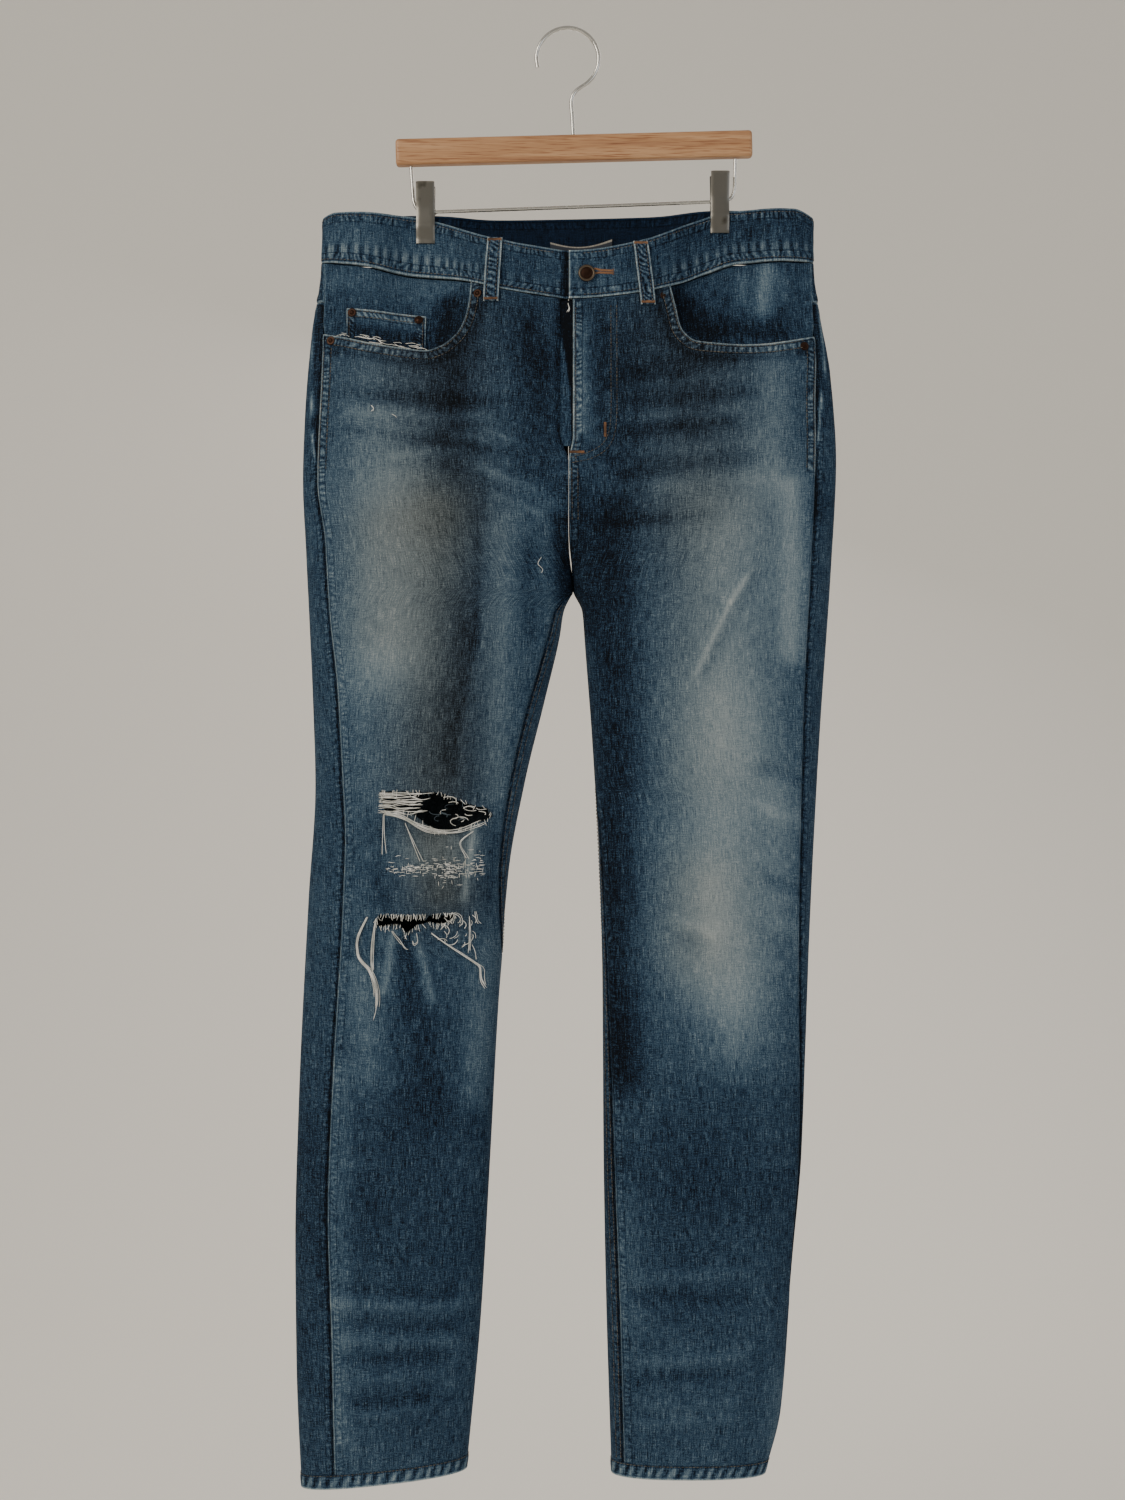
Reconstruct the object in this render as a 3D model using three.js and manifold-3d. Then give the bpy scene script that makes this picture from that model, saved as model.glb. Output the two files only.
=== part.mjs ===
// Slim ripped jeans hanging from a clip hanger.
// Millimetres, +Z up, the front of the garment faces -Y, the origin is inside the top of the hook.
// "r" and "l" are the wearer's right (-X) and left (+X).
import * as THREE from 'three';
import { mergeVertices } from 'three/addons/utils/BufferGeometryUtils.js';
import Module from 'manifold-3d';

const wasm = await Module();
wasm.setup();

// ---------------------------------------------------------------- driving dimensions

const DENIM = 1.4; // wall of one layer of denim
const GAP = 0.3; // air left between two pieces at a seam
const SEAM_GAP = 0.4; // air along a seam between two panels
const BAND_GAP = 0.9; // air under the waistband's curved seam
const BAND_OUT = 0.6; // how far the waistband stands out from the body surface
const BAND_IN = 2.0; // and how far it reaches in
const HEM_OUT = 0.5; // how far the double hem stands out from the leg
const HEM_IN = 1.7;
const HEM_HEIGHT = 12;
const SQUARE = 0.82; // below 1 makes a section boxier than an ellipse

const WAIST = -162; // nominal heights, all measured down from the hook
const BAND_SEAM = -203;
const CROTCH = -488;
const HEM = -1250;
const CENTRE = 1; // the rise seam's place across the body
const FORK = 5; // and where it ends at the crotch point

const CLIPS = { r: -123, l: 132 };
const PINCH_REACH = 38; // half width of cloth drawn together by a clip
const PINCH_FADE = [-300, -185]; // heights between which the pinch comes in
const PINCHED = BAND_IN + 0.2; // half depth left between the body surfaces under a clip

// Each key list is [height, value]. Values between the keys follow a smooth monotone curve.
const OUTER_R = curve([
  [-1262, -230], [-1150, -235], [-1050, -236], [-930, -233], [-755, -224.5], [-655, -218.5],
  [-598, -220], [-455, -226.5], [-390, -229.5], [-340, -228], [-266, -222], [-203, -213], [-160, -212],
]);
const OUTER_L = curve([
  [-1252, 171], [-1195, 185], [-1070, 194], [-972, 202.5], [-765, 210.5], [-620, 218],
  [-465, 228.5], [-375, 233], [-300, 228], [-243, 218], [-203, 213], [-160, 213],
]);
const INNER_R = curve([
  [-1250, -87], [-1117, -75], [-972, -66.5], [-851, -60], [-732, -51], [-654, -37], [-582, -19.5],
  [-527, -6.5], [-505, -3], [CROTCH, FORK],
]);
const INNER_L = curve([
  [-1254, 38], [-1088, 33], [-972, 31], [-825, 30], [-679, 25.5], [-606, 20.5],
  [-528, 14.5], [-505, 13], [CROTCH, FORK],
]);
const RISE = curve([[CROTCH, FORK], [-430, CENTRE], [WAIST, CENTRE]]);
const DEPTH_FRONT = curve([
  [-1262, 25], [-1150, 28], [-1000, 30], [-850, 33], [-740, 36], [-600, 40],
  [-500, 43], [-430, 40], [-350, 36], [-266, 31], [-203, 25], [-160, 22],
]);
const DEPTH_BACK = curve([
  [-1262, 22], [-1150, 26], [-1000, 28], [-850, 31], [-740, 33], [-600, 37],
  [-500, 42], [-430, 41], [-350, 37], [-266, 29], [-203, 19], [-160, 15],
]);
// How far inside the silhouette each seam lies, positive on the front face.
const OUTSEAM_R = curve([
  [-1250, 31], [-1150, 33], [-1000, 30], [-900, 31], [-770, 32.5], [-712, 31], [-650, 26],
  [-570, 24], [-505, 20], [-445, 19], [-395, 14], [-330, 14], [-266, 11], [-203, 2],
]);
const OUTSEAM_L = curve([
  [-1250, -2], [-1100, 0], [-950, 3], [-825, 9], [-655, 15], [-508, 19.5],
  [-400, 20], [-340, 18], [-266, 9], [-203, 2],
]);
const INSEAM_R = curve([
  [-1250, -14], [-1000, -14], [-900, -8], [-800, 0], [-725, 8], [-650, 12], [-600, 13],
  [-550, 11], [-510, 8], [CROTCH, 0],
]);
const INSEAM_L = curve([
  [-1254, 10.5], [-1127, 11], [-972, 8.5], [-800, 4], [-704, 2], [-560, -4], [CROTCH, 0],
]);

// Edges of the waistband across the front and the back, [place across, height].
const TOP_FRONT = curve([
  [-213, -165], [-200, -161], [-140, -163], [-115, -167], [-66, -185], [5, -196.5],
  [66, -187], [115, -166], [140, -158], [195, -158], [214, -165],
]);
const TOP_BACK = curve([
  [-213, -165], [-200, -161], [-66, -162], [5, -161], [85, -159], [140, -157], [195, -158], [214, -165],
]);
const SEAM_FRONT = curve([
  [-213, -203], [-175, -208], [-138, -214], [-105, -217], [-55, -230], [5, -238],
  [64, -232.5], [95, -224], [119, -213], [148, -204], [214, -203],
]);
const SAG_FADE = [-420, BAND_SEAM]; // heights over which the front waist's sag dies away

const SIDES = {
  r: { sign: -1, outer: OUTER_R, inner: INNER_R, outseam: OUTSEAM_R, inseam: INSEAM_R },
  l: { sign: 1, outer: OUTER_L, inner: INNER_L, outseam: OUTSEAM_L, inseam: INSEAM_L },
};

// Largest folds of the fronts: a soft ridge (or trough, with a negative rise) along a line.
const FOLDS = [
  { from: [-62, -385], to: [-88, -665], reach: 15, rise: 5 },
  { from: [-86, -400], to: [-114, -650], reach: 20, rise: -4 },
  { from: [140, -330], to: [128, -880], reach: 42, rise: 4 },
  { from: [42, -330], to: [52, -700], reach: 28, rise: -4 },
];

const FRONT_TURN = [-480, -395]; // heights over which the front rise runs back between the legs
const BACK_TURN = [CROTCH, -400];
const HEM_TILT = { fade: [HEM, -1100], pivot: -122, slope: 0.112 }; // the r hem hangs lower outside

const FLY_OPEN_R = 7.5; // the r front's edge lies this far short of the centre along the fly
const FLY_OPEN_L = 3.6;
const FLY_CLOSE = [-376, -348];
const YOKE_SIDE = -238;
const YOKE_CENTRE = -268;

const MOUTH_R = [
  [-83, -224], [-86, -246], [-92, -263], [-102, -274.5], [-113, -281], [-126, -283],
  [-164, -277], [-190, -271], [-214, -266],
];
const MOUTH_L = [
  [87, -224], [92, -246], [96, -263], [103, -272.5], [112, -277], [135, -278],
  [166, -277], [190, -273.5], [216, -268],
];
const RIPS = [
  [
    [-159, -660], [-113, -661], [-100, -665], [-80, -672], [-69, -675], [-64.5, -682], [-76, -687],
    [-91, -691.5], [-108, -694], [-118, -690], [-129, -681], [-140, -677.5], [-155, -677],
  ],
  [
    [-161, -765.5], [-128, -766], [-97, -765], [-105, -773], [-118, -772.5], [-128, -775],
    [-139, -782], [-143, -774.5], [-162, -775],
  ],
];

const COLUMNS = 10; // facets across a leg panel

// ---------------------------------------------------------------- small maths

// Monotone cubic through hand-set keys, sorted by their first number.
function curve(keys) {
  const n = keys.length;
  const slope = keys.slice(1).map((key, i) => (key[1] - keys[i][1]) / (key[0] - keys[i][0]));
  const tangent = keys.map((key, i) => {
    if (i === 0 || i === n - 1) return slope[Math.min(i, n - 2)];
    if (slope[i - 1] * slope[i] <= 0) return 0;
    return (2 * slope[i - 1] * slope[i]) / (slope[i - 1] + slope[i]);
  });
  return (at) => {
    const inside = THREE.MathUtils.clamp(at, keys[0][0], keys[n - 1][0]);
    const next = keys.findIndex((key) => key[0] >= inside);
    const i = Math.max(next - 1, 0);
    const span = keys[i + 1][0] - keys[i][0];
    const t = (inside - keys[i][0]) / span;
    const rise = t * t * (3 - 2 * t);
    return keys[i][1] * (1 - rise) + keys[i + 1][1] * rise
      + span * t * (1 - t) * ((1 - t) * tangent[i] - t * tangent[i + 1]);
  };
}

function power(value) {
  return Math.sign(value) * Math.abs(value) ** SQUARE;
}

function fade(at, [from, to]) {
  return THREE.MathUtils.smoothstep(at, from, to);
}

// ---------------------------------------------------------------- the body surface

function pinch(x, z) {
  const near = Object.values(CLIPS).map((at) => Math.exp(-(Math.abs((x - at) / PINCH_REACH) ** 3)));
  return Math.max(...near) * fade(z, PINCH_FADE);
}

function foldRise(x, z) {
  return FOLDS.reduce((sum, { from, to, reach, rise }) => {
    const along = (z - from[1]) / (to[1] - from[1]);
    const off = x - THREE.MathUtils.lerp(from[0], to[0], along);
    const begin = THREE.MathUtils.smoothstep(along, -0.15, 0.2);
    const ends = begin * (1 - THREE.MathUtils.smoothstep(along, 0.8, 1.15));
    return sum + rise * ends * Math.exp(-((off / reach) ** 2));
  }, 0);
}

function turn(z, front) {
  return Math.PI * (1 - 0.5 * fade(z, front ? FRONT_TURN : BACK_TURN));
}

// Half width that an angle sweeps: the section runs from the outer edge at angle 0 to the inner edge.
function sweep(side, z, front) {
  const inner = (z > CROTCH ? RISE : side.inner)(z) + (side.sign * SEAM_GAP) / 2;
  return (inner - side.outer(z)) / (1 - power(Math.cos(turn(z, front))));
}

function depthAt(x, z, swing, front) {
  const depth = (front ? DEPTH_FRONT : DEPTH_BACK)(z);
  const folded = front ? foldRise(x, z) : 0;
  const open = (depth + folded) * swing;
  return THREE.MathUtils.lerp(open, PINCHED, pinch(x, z) * Math.min(1, swing * 3));
}

function sag(x, z, front) {
  const waist = front ? (SEAM_FRONT(x) - BAND_SEAM) * fade(z, SAG_FADE) : 0;
  const tilt = x < CENTRE ? (x - HEM_TILT.pivot) * HEM_TILT.slope * (1 - fade(z, HEM_TILT.fade)) : 0;
  return waist + tilt;
}

// Point of a side's section: angle 0 is the outer edge, positive angles go over the front.
function bodyPoint(side, angle, z) {
  const front = Math.sin(angle) >= 0;
  const x = side.outer(z) + sweep(side, z, front) * (1 - power(Math.cos(angle)));
  const out = depthAt(x, z, Math.abs(power(Math.sin(angle))), front);
  return new THREE.Vector3(x, front ? -out : out, z + sag(x, z, front));
}

function angleAt(side, x, z, front) {
  const level = 1 - (x - side.outer(z)) / sweep(side, z, front);
  const cosine = Math.sign(level) * Math.abs(level) ** (1 / SQUARE);
  return Math.acos(THREE.MathUtils.clamp(cosine, -1, 1)) * (front ? 1 : -1);
}

// Point of the front or back face at a true place across and height.
function facePoint(x, height, front) {
  const side = x < CENTRE ? SIDES.r : SIDES.l;
  let z = height;
  for (let i = 0; i < 12; i += 1) z = height - sag(x, z, front);
  return bodyPoint(side, angleAt(side, x, z, front), z);
}

// Level normal of the surface, pointing out of the garment.
function bodyNormal(side, angle, z) {
  const step = 0.004;
  const along = bodyPoint(side, angle + step, z).sub(bodyPoint(side, angle - step, z));
  return new THREE.Vector3(along.y, -along.x, 0).multiplyScalar(-side.sign).normalize();
}

function faceNormal(x, height, front) {
  const along = facePoint(x + 1, height, front).sub(facePoint(x - 1, height, front));
  return new THREE.Vector3(along.y, -along.x, 0).multiplyScalar(front ? 1 : -1).normalize();
}

// ---------------------------------------------------------------- walls from grids

// Values of t from 0 to 1 at which place(t) has gone equal distances.
function evenSteps(place, count) {
  const dense = 80;
  const lengths = [0];
  for (let k = 1; k <= dense; k += 1) {
    lengths.push(lengths[k - 1] + place(k / dense).distanceTo(place((k - 1) / dense)));
  }
  return Array.from({ length: count + 1 }, (_, i) => {
    const at = (lengths[dense] * i) / count;
    const next = Math.max(lengths.findIndex((length) => length >= at - 1e-6), 1);
    return (next - 1 + (at - lengths[next - 1]) / (lengths[next] - lengths[next - 1])) / dense;
  });
}

// Closed wall on a grid of { point, normal } whose rows run down and whose columns run right, seen from
// outside. Its outer face lies out(v, u) along the normals and it is `thick` through. A ring joins its
// last column to its first.
function wall(grid, thick, out = () => 0, ring = false) {
  const rows = grid.length;
  const columns = grid[0].length;
  const positions = [];
  for (const depth of [0, thick]) {
    grid.forEach((row, i) => row.forEach(({ point, normal }, j) => {
      const offset = out(i / (rows - 1), j / (columns - 1)) - depth;
      positions.push(...point.clone().addScaledVector(normal, offset).toArray());
    }));
  }
  const indices = [];
  const at = (face, i, j) => face * rows * columns + i * columns + (j % columns);
  const quad = (a, b, c, d) => indices.push(a, b, c, a, c, d);
  const spans = ring ? columns : columns - 1;
  for (let j = 0; j < spans; j += 1) {
    for (let i = 0; i < rows - 1; i += 1) {
      quad(at(0, i, j), at(0, i + 1, j), at(0, i + 1, j + 1), at(0, i, j + 1));
      quad(at(1, i, j), at(1, i, j + 1), at(1, i + 1, j + 1), at(1, i + 1, j));
    }
    quad(at(0, 0, j), at(0, 0, j + 1), at(1, 0, j + 1), at(1, 0, j));
    quad(at(0, rows - 1, j), at(1, rows - 1, j), at(1, rows - 1, j + 1), at(0, rows - 1, j + 1));
  }
  if (!ring) {
    for (let i = 0; i < rows - 1; i += 1) {
      quad(at(0, i, 0), at(1, i, 0), at(1, i + 1, 0), at(0, i + 1, 0));
      quad(at(0, i, columns - 1), at(0, i + 1, columns - 1), at(1, i + 1, columns - 1), at(1, i, columns - 1));
    }
  }
  const geometry = new THREE.BufferGeometry();
  geometry.setAttribute('position', new THREE.Float32BufferAttribute(positions, 3));
  geometry.setIndex(indices);
  return geometry;
}

// Wall on the front or back face over a patch: place(u, v) gives [across, height], u to the right
// seen from outside and v down.
function patch(front, columns, rows, place, thick, out) {
  const grid = Array.from({ length: rows + 1 }, (_, i) => Array.from({ length: columns + 1 }, (__, j) => {
    const [x, height] = place(j / columns, i / rows);
    return { point: facePoint(x, height, front), normal: faceNormal(x, height, front) };
  }));
  return wall(grid, thick, out);
}

// ---------------------------------------------------------------- cuts

function solidOf(geometry) {
  const bare = geometry.clone();
  bare.deleteAttribute('normal');
  bare.deleteAttribute('uv');
  const merged = mergeVertices(bare, 1e-4);
  return new wasm.Manifold(new wasm.Mesh({
    numProp: 3,
    vertProperties: new Float32Array(merged.attributes.position.array),
    triVerts: new Uint32Array(merged.index.array),
  }));
}

function geometryOf(solid) {
  const mesh = solid.getMesh();
  const geometry = new THREE.BufferGeometry();
  geometry.setAttribute('position', new THREE.Float32BufferAttribute(mesh.vertProperties, 3));
  geometry.setIndex(Array.from(mesh.triVerts));
  return geometry;
}

// Straight prism through the front of the body, on an outline of [across, height] points.
function frontCutter(outline) {
  const shape = new THREE.Shape(outline.map(([x, z]) => new THREE.Vector2(x, z)));
  const prism = new THREE.ExtrudeGeometry(shape, { depth: 120, bevelEnabled: false });
  const basis = new THREE.Matrix4().makeBasis(
    new THREE.Vector3(1, 0, 0), new THREE.Vector3(0, 0, 1), new THREE.Vector3(0, -1, 0),
  );
  return solidOf(prism.applyMatrix4(basis).translate(0, 12, 0));
}

function mouthCutter(mouth, sign) {
  const bend = new THREE.SplineCurve(mouth.map(([x, z]) => new THREE.Vector2(x, z)));
  const edge = bend.getPoints(18).map((point) => [point.x, point.y]);
  return frontCutter([...edge, [sign * 245, -262], [sign * 245, -150], [mouth[0][0], -150]]);
}

// ---------------------------------------------------------------- panels

// Moves an angle a distance along the cloth.
function slide(side, angle, z, distance) {
  const step = 0.01;
  const moved = bodyPoint(side, angle + step, z).distanceTo(bodyPoint(side, angle - step, z));
  return angle + (distance * 2 * step) / moved;
}

// Angle, from a silhouette, of a line that lies `inside` it on the front, or behind it if negative.
function silhouetteAngle(side, z, inside) {
  const level = 1 - Math.abs(inside / sweep(side, z, true));
  return Math.sign(inside) * Math.acos(level ** (1 / SQUARE));
}

// Angles at which a panel starts and ends at a height, the outer edge first.
function panelAngles(side, z, front) {
  const way = front ? 1 : -1;
  const outer = slide(side, silhouetteAngle(side, z, side.outseam(z)), z, (way * SEAM_GAP) / 2);
  if (z <= CROTCH) {
    const inseam = way * Math.PI - silhouetteAngle(side, z, side.inseam(z));
    return [outer, slide(side, inseam, z, (-way * SEAM_GAP) / 2)];
  }
  const open = (side.sign < 0 ? FLY_OPEN_R : FLY_OPEN_L) * fade(z, FLY_CLOSE);
  if (front && open > 0.5) return [outer, angleAt(side, CENTRE + side.sign * open, z, true)];
  return [outer, way * turn(z, front)];
}

// One row of a panel, its columns evenly spaced along the cloth and running right seen from outside.
function panelRow(side, front, rowHeight) {
  const angleOf = (z, t) => THREE.MathUtils.lerp(...panelAngles(side, z, front), t);
  const heightOf = (t) => {
    const level = rowHeight(CENTRE);
    return rowHeight(bodyPoint(side, angleOf(level, t), level).x);
  };
  const place = (t) => bodyPoint(side, angleOf(heightOf(t), t), heightOf(t));
  const row = evenSteps(place, COLUMNS).map((t) => {
    const z = heightOf(t);
    return { point: place(t), normal: bodyNormal(side, angleOf(z, t), z) };
  });
  return (side.sign < 0) === front ? row : row.reverse();
}

function yokeSeam(x) {
  return THREE.MathUtils.lerp(YOKE_CENTRE, YOKE_SIDE, Math.min(1, Math.abs(x - CENTRE) / 213));
}

const LOWER_ROWS = [
  -335, -370, -398, -420, -440, -456, -470, -481, CROTCH, -496, -507, -524, -555, -595, -635, -675,
  -720, -770, -830, -900, -980, -1060, -1130, -1190, HEM + HEM_HEIGHT + GAP,
];

function legFront(side) {
  const rows = [BAND_SEAM - BAND_GAP, -222, -240, -268, -300, ...LOWER_ROWS];
  return wall(rows.map((z) => panelRow(side, true, () => z)), DENIM);
}

function legBack(side) {
  const upper = [0, 0.5, 1].map((t) => (x) => THREE.MathUtils.lerp(yokeSeam(x) - GAP, -302, t));
  const rows = [...upper, ...LOWER_ROWS.map((z) => () => z)];
  return wall(rows.map((row) => panelRow(side, false, row)), DENIM);
}

function yoke(side) {
  const rows = [0, 0.5, 1].map((t) => (x) => THREE.MathUtils.lerp(BAND_SEAM - BAND_GAP, yokeSeam(x), t));
  return wall(rows.map((row) => panelRow(side, false, row)), DENIM);
}

function hem(side) {
  const around = 24;
  const grid = [HEM + HEM_HEIGHT, HEM].map((z) => Array.from({ length: around }, (_, k) => {
    const angle = -side.sign * ((2 * Math.PI * k) / around - Math.PI);
    return { point: bodyPoint(side, angle, z), normal: bodyNormal(side, angle, z) };
  }));
  return wall(grid, HEM_IN + HEM_OUT, () => HEM_OUT, true);
}

// Angles of the waistband's columns round one side, from centre front to centre back, with columns
// at both edges of the clip's flat grip.
function bandAngles(side, clip) {
  const grip = [clip - 10, clip, clip + 10].flatMap((x) => [
    angleAt(side, x, WAIST, true), angleAt(side, x, WAIST, false),
  ]);
  const steps = 22;
  const even = Array.from({ length: steps + 1 }, (_, k) => Math.PI / 2 - (Math.PI * k) / steps);
  const spare = even.filter((angle) => grip.every((held) => Math.abs(held - angle) > 0.06));
  return [...grip, ...spare].sort((one, two) => two - one);
}

// The three points of a waistband column: its edges follow the waist and seam lines.
function bandColumn(side, angle, deeper = 0) {
  const front = angle > 0;
  return [0, 0.5, 1].map((v) => {
    const z = THREE.MathUtils.lerp(WAIST, BAND_SEAM, v);
    const point = bodyPoint(side, angle, z);
    const top = (front ? TOP_FRONT : TOP_BACK)(point.x);
    const bottom = front ? SEAM_FRONT(point.x) : BAND_SEAM;
    point.z = THREE.MathUtils.lerp(top, bottom, v);
    point.y += deeper;
    return { point, normal: bodyNormal(side, angle, z) };
  });
}

// Waistband: one strip from the end under the button, round by the r side, the back and the l side,
// to the end over it.
function waistband() {
  const under = [27, 12, -3].map((x) => {
    const side = x < CENTRE ? SIDES.r : SIDES.l;
    return bandColumn(side, angleAt(side, x, WAIST, true), BAND_IN + BAND_OUT + GAP);
  });
  const right = bandAngles(SIDES.r, CLIPS.r).slice(1).map((angle) => bandColumn(SIDES.r, angle));
  const left = bandAngles(SIDES.l, CLIPS.l).reverse().slice(1).map((angle) => bandColumn(SIDES.l, angle));
  const columns = [...under, ...right, ...left].reverse();
  return wall([0, 1, 2].map((i) => columns.map((column) => column[i])), BAND_IN + BAND_OUT, () => BAND_OUT);
}

// ---------------------------------------------------------------- pieces on the panels

const FACING = { inner: { r: -72, l: 76 }, low: -308, thick: 1.2, under: 1.7 }; // under: below the front
const COIN_POCKET = { from: -190, to: -122, top: -245, slope: 6, thick: 1, depth: 0.5 };
const BACK_POCKET = { off: 104, halfTop: 74, halfBottom: 62, top: -288, corner: -425, point: -446, thick: 1.2, air: 0.9 };
const FLY_SHIELD = { from: -24, to: 32, top: -240, low: -366, thick: 1.4, under: 0.5 };
const LOOP = { width: 12.4, thick: 1.6, arch: 2.2 };
const LABEL = { from: 39, to: -15, top: -177, low: -192, thick: 0.8, under: 0.4 };

function facing(side) {
  const inner = side.sign < 0 ? FACING.inner.r : FACING.inner.l;
  const place = (u, v) => {
    const across = side.sign < 0 ? u : 1 - u;
    const outer = (height) => side.outer(height) - side.sign * Math.max(side.outseam(height) + 1.5, 9);
    const x = THREE.MathUtils.lerp(outer(BAND_SEAM), inner, across);
    const height = THREE.MathUtils.lerp(SEAM_FRONT(x) - BAND_GAP, FACING.low, v);
    return [THREE.MathUtils.lerp(outer(height), inner, across), height];
  };
  return patch(true, 12, 5, place, FACING.thick, () => -DENIM - FACING.under);
}

function coinPocket() {
  const mouth = curve(MOUTH_R.slice(2).reverse());
  const place = (u, v) => {
    const x = THREE.MathUtils.lerp(COIN_POCKET.from, COIN_POCKET.to, u);
    const top = COIN_POCKET.top - COIN_POCKET.slope * u;
    return [x, THREE.MathUtils.lerp(top, mouth(x) + 1, v)];
  };
  return patch(true, 5, 2, place, COIN_POCKET.thick, () => -COIN_POCKET.depth);
}

function backPocket(sign) {
  const { off, halfTop, halfBottom, top, corner, point, thick, air } = BACK_POCKET;
  const place = (u, v) => {
    const across = 1 - 2 * u;
    const half = THREE.MathUtils.lerp(halfTop, halfBottom, v);
    const low = THREE.MathUtils.lerp(point, corner, Math.abs(across));
    return [CENTRE + sign * off + across * half, THREE.MathUtils.lerp(top + 5 * sign * across, low, v)];
  };
  return patch(false, 9, 7, place, thick, () => thick + air);
}

function flyShield() {
  const { from, to, top, low, thick, under } = FLY_SHIELD;
  const place = (u, v) => [THREE.MathUtils.lerp(from, to, u), THREE.MathUtils.lerp(top, low, v)];
  return patch(true, 4, 5, place, thick, () => -DENIM - under);
}

function beltLoop(top, bottom, front) {
  const { width, thick, arch } = LOOP;
  const place = (u, v) => {
    const across = (front ? 1 : -1) * (u - 0.5) * width;
    return [THREE.MathUtils.lerp(top[0], bottom[0], v) + across, THREE.MathUtils.lerp(top[1], bottom[1], v)];
  };
  const rise = (v) => BAND_OUT + GAP + thick + arch * Math.sin(Math.PI * v) ** 0.6;
  return patch(front, 2, 6, place, thick, rise);
}

function waistLabel() {
  const { from, to, top, low, thick, under } = LABEL;
  const place = (u, v) => [THREE.MathUtils.lerp(from, to, u), THREE.MathUtils.lerp(top, low, v)];
  return patch(false, 6, 1, place, thick, () => -BAND_IN - under);
}

// ---------------------------------------------------------------- metal and wood

// Turned piece standing on the front face: profile is [radius, height] from axis to axis.
function turned(profile, x, height, lift) {
  const geometry = new THREE.LatheGeometry(profile.map(([r, h]) => new THREE.Vector2(r, h)), 12);
  const normal = faceNormal(x, height, true);
  const spin = new THREE.Quaternion().setFromUnitVectors(new THREE.Vector3(0, 1, 0), normal);
  const seat = facePoint(x, height, true).addScaledVector(normal, lift);
  return geometry.applyQuaternion(spin).translate(seat.x, seat.y, seat.z);
}

const BUTTON = [
  [0, 0], [5.2, 0], [5.2, 0.9], [7.1, 1.2], [7.3, 2], [6.6, 2.9], [5.4, 3], [5, 2.4], [2.5, 2.8], [0, 2.9],
];
const BUTTON_AT = [16.4, -217.3];
const SHANK = 0.4; // the button's air above the band
const RIVET = [[0, 0], [3.8, 0], [3.8, 0.8], [1.8, 1.1], [0, 1.6]];
const RIVETS = [ // name, place across, height, and lift off the front, more where cloth lies between
  ['rivet_side_r', -203.5, -273, GAP], ['rivet_mouth_r', -77, -233.5, GAP],
  ['rivet_coin_outer', -185, -249.5, 0.5], ['rivet_coin_inner', -128, -255.5, 1.2],
  ['rivet_mouth_l', 83, -235.5, GAP], ['rivet_side_l', 203.5, -278, GAP],
];

const HOOK = { wire: 1.75, bend: 27, from: -50, to: 196 };
const RAIL_WIRE = 1.5;
const RAIL_HEIGHT = { r: -158.3, l: -149.2 };
const SPRING_OFF = { r: 7, l: -3 }; // the springs sit inward of the plates' middles
const SPRING_LIFT = 0.1;
const RAIL_TILT = Math.atan2(RAIL_HEIGHT.l - RAIL_HEIGHT.r, CLIPS.l - CLIPS.r);
const BAR = { length: 309, height: 23, depth: 12, centre: [5.6, -103.3], tilt: 1.45 };

function wire(points, radius, steps) {
  const section = new THREE.Shape(Array.from({ length: 8 }, (_, k) => {
    const angle = (k * Math.PI) / 4;
    return new THREE.Vector2(radius * Math.cos(angle), radius * Math.sin(angle));
  }));
  const path = new THREE.CatmullRomCurve3(points.map(([x, z]) => new THREE.Vector3(x, 0, z)), false, 'centripetal');
  return new THREE.ExtrudeGeometry(section, { steps, extrudePath: path, bevelEnabled: false });
}

function hook() {
  const centre = HOOK.wire - HOOK.bend;
  const arc = Array.from({ length: 13 }, (_, k) => {
    const angle = THREE.MathUtils.degToRad(THREE.MathUtils.lerp(HOOK.from, HOOK.to, k / 12));
    return [HOOK.bend * Math.cos(angle), centre + HOOK.bend * Math.sin(angle)];
  });
  return wire([[4.9, -91.2], [4.2, -76], [3.4, -62], [7, -53.5], ...arc], HOOK.wire, 38);
}

function clipRail() {
  return wire([
    [-135.8, -119], [-134.6, -136], [-133.4, -149], [-129.5, -156.6], [-124, -158.2], [-100, -157.6],
    [5, -153.9], [126, -149.3], [139, -148], [144.3, -141], [145.2, -126], [145.6, -112.4],
  ], RAIL_WIRE, 32);
}

function bar() {
  const corner = 5;
  const bevel = 2.5;
  const x = BAR.length / 2 - bevel;
  const z = BAR.height / 2 - bevel;
  const shape = new THREE.Shape();
  shape.moveTo(-x + corner, -z);
  shape.lineTo(x - corner, -z);
  shape.quadraticCurveTo(x, -z, x, -z + corner);
  shape.lineTo(x, z - corner);
  shape.quadraticCurveTo(x, z, x - corner, z);
  shape.lineTo(-x + corner, z);
  shape.quadraticCurveTo(-x, z, -x, z - corner);
  shape.lineTo(-x, -z + corner);
  shape.quadraticCurveTo(-x, -z, -x + corner, -z);
  const options = {
    depth: BAR.depth - 2 * bevel, bevelThickness: bevel, bevelSize: bevel, bevelSegments: 2, curveSegments: 3,
  };
  const geometry = new THREE.ExtrudeGeometry(shape, options);
  return geometry.translate(0, 0, bevel - BAR.depth / 2);
}

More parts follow.
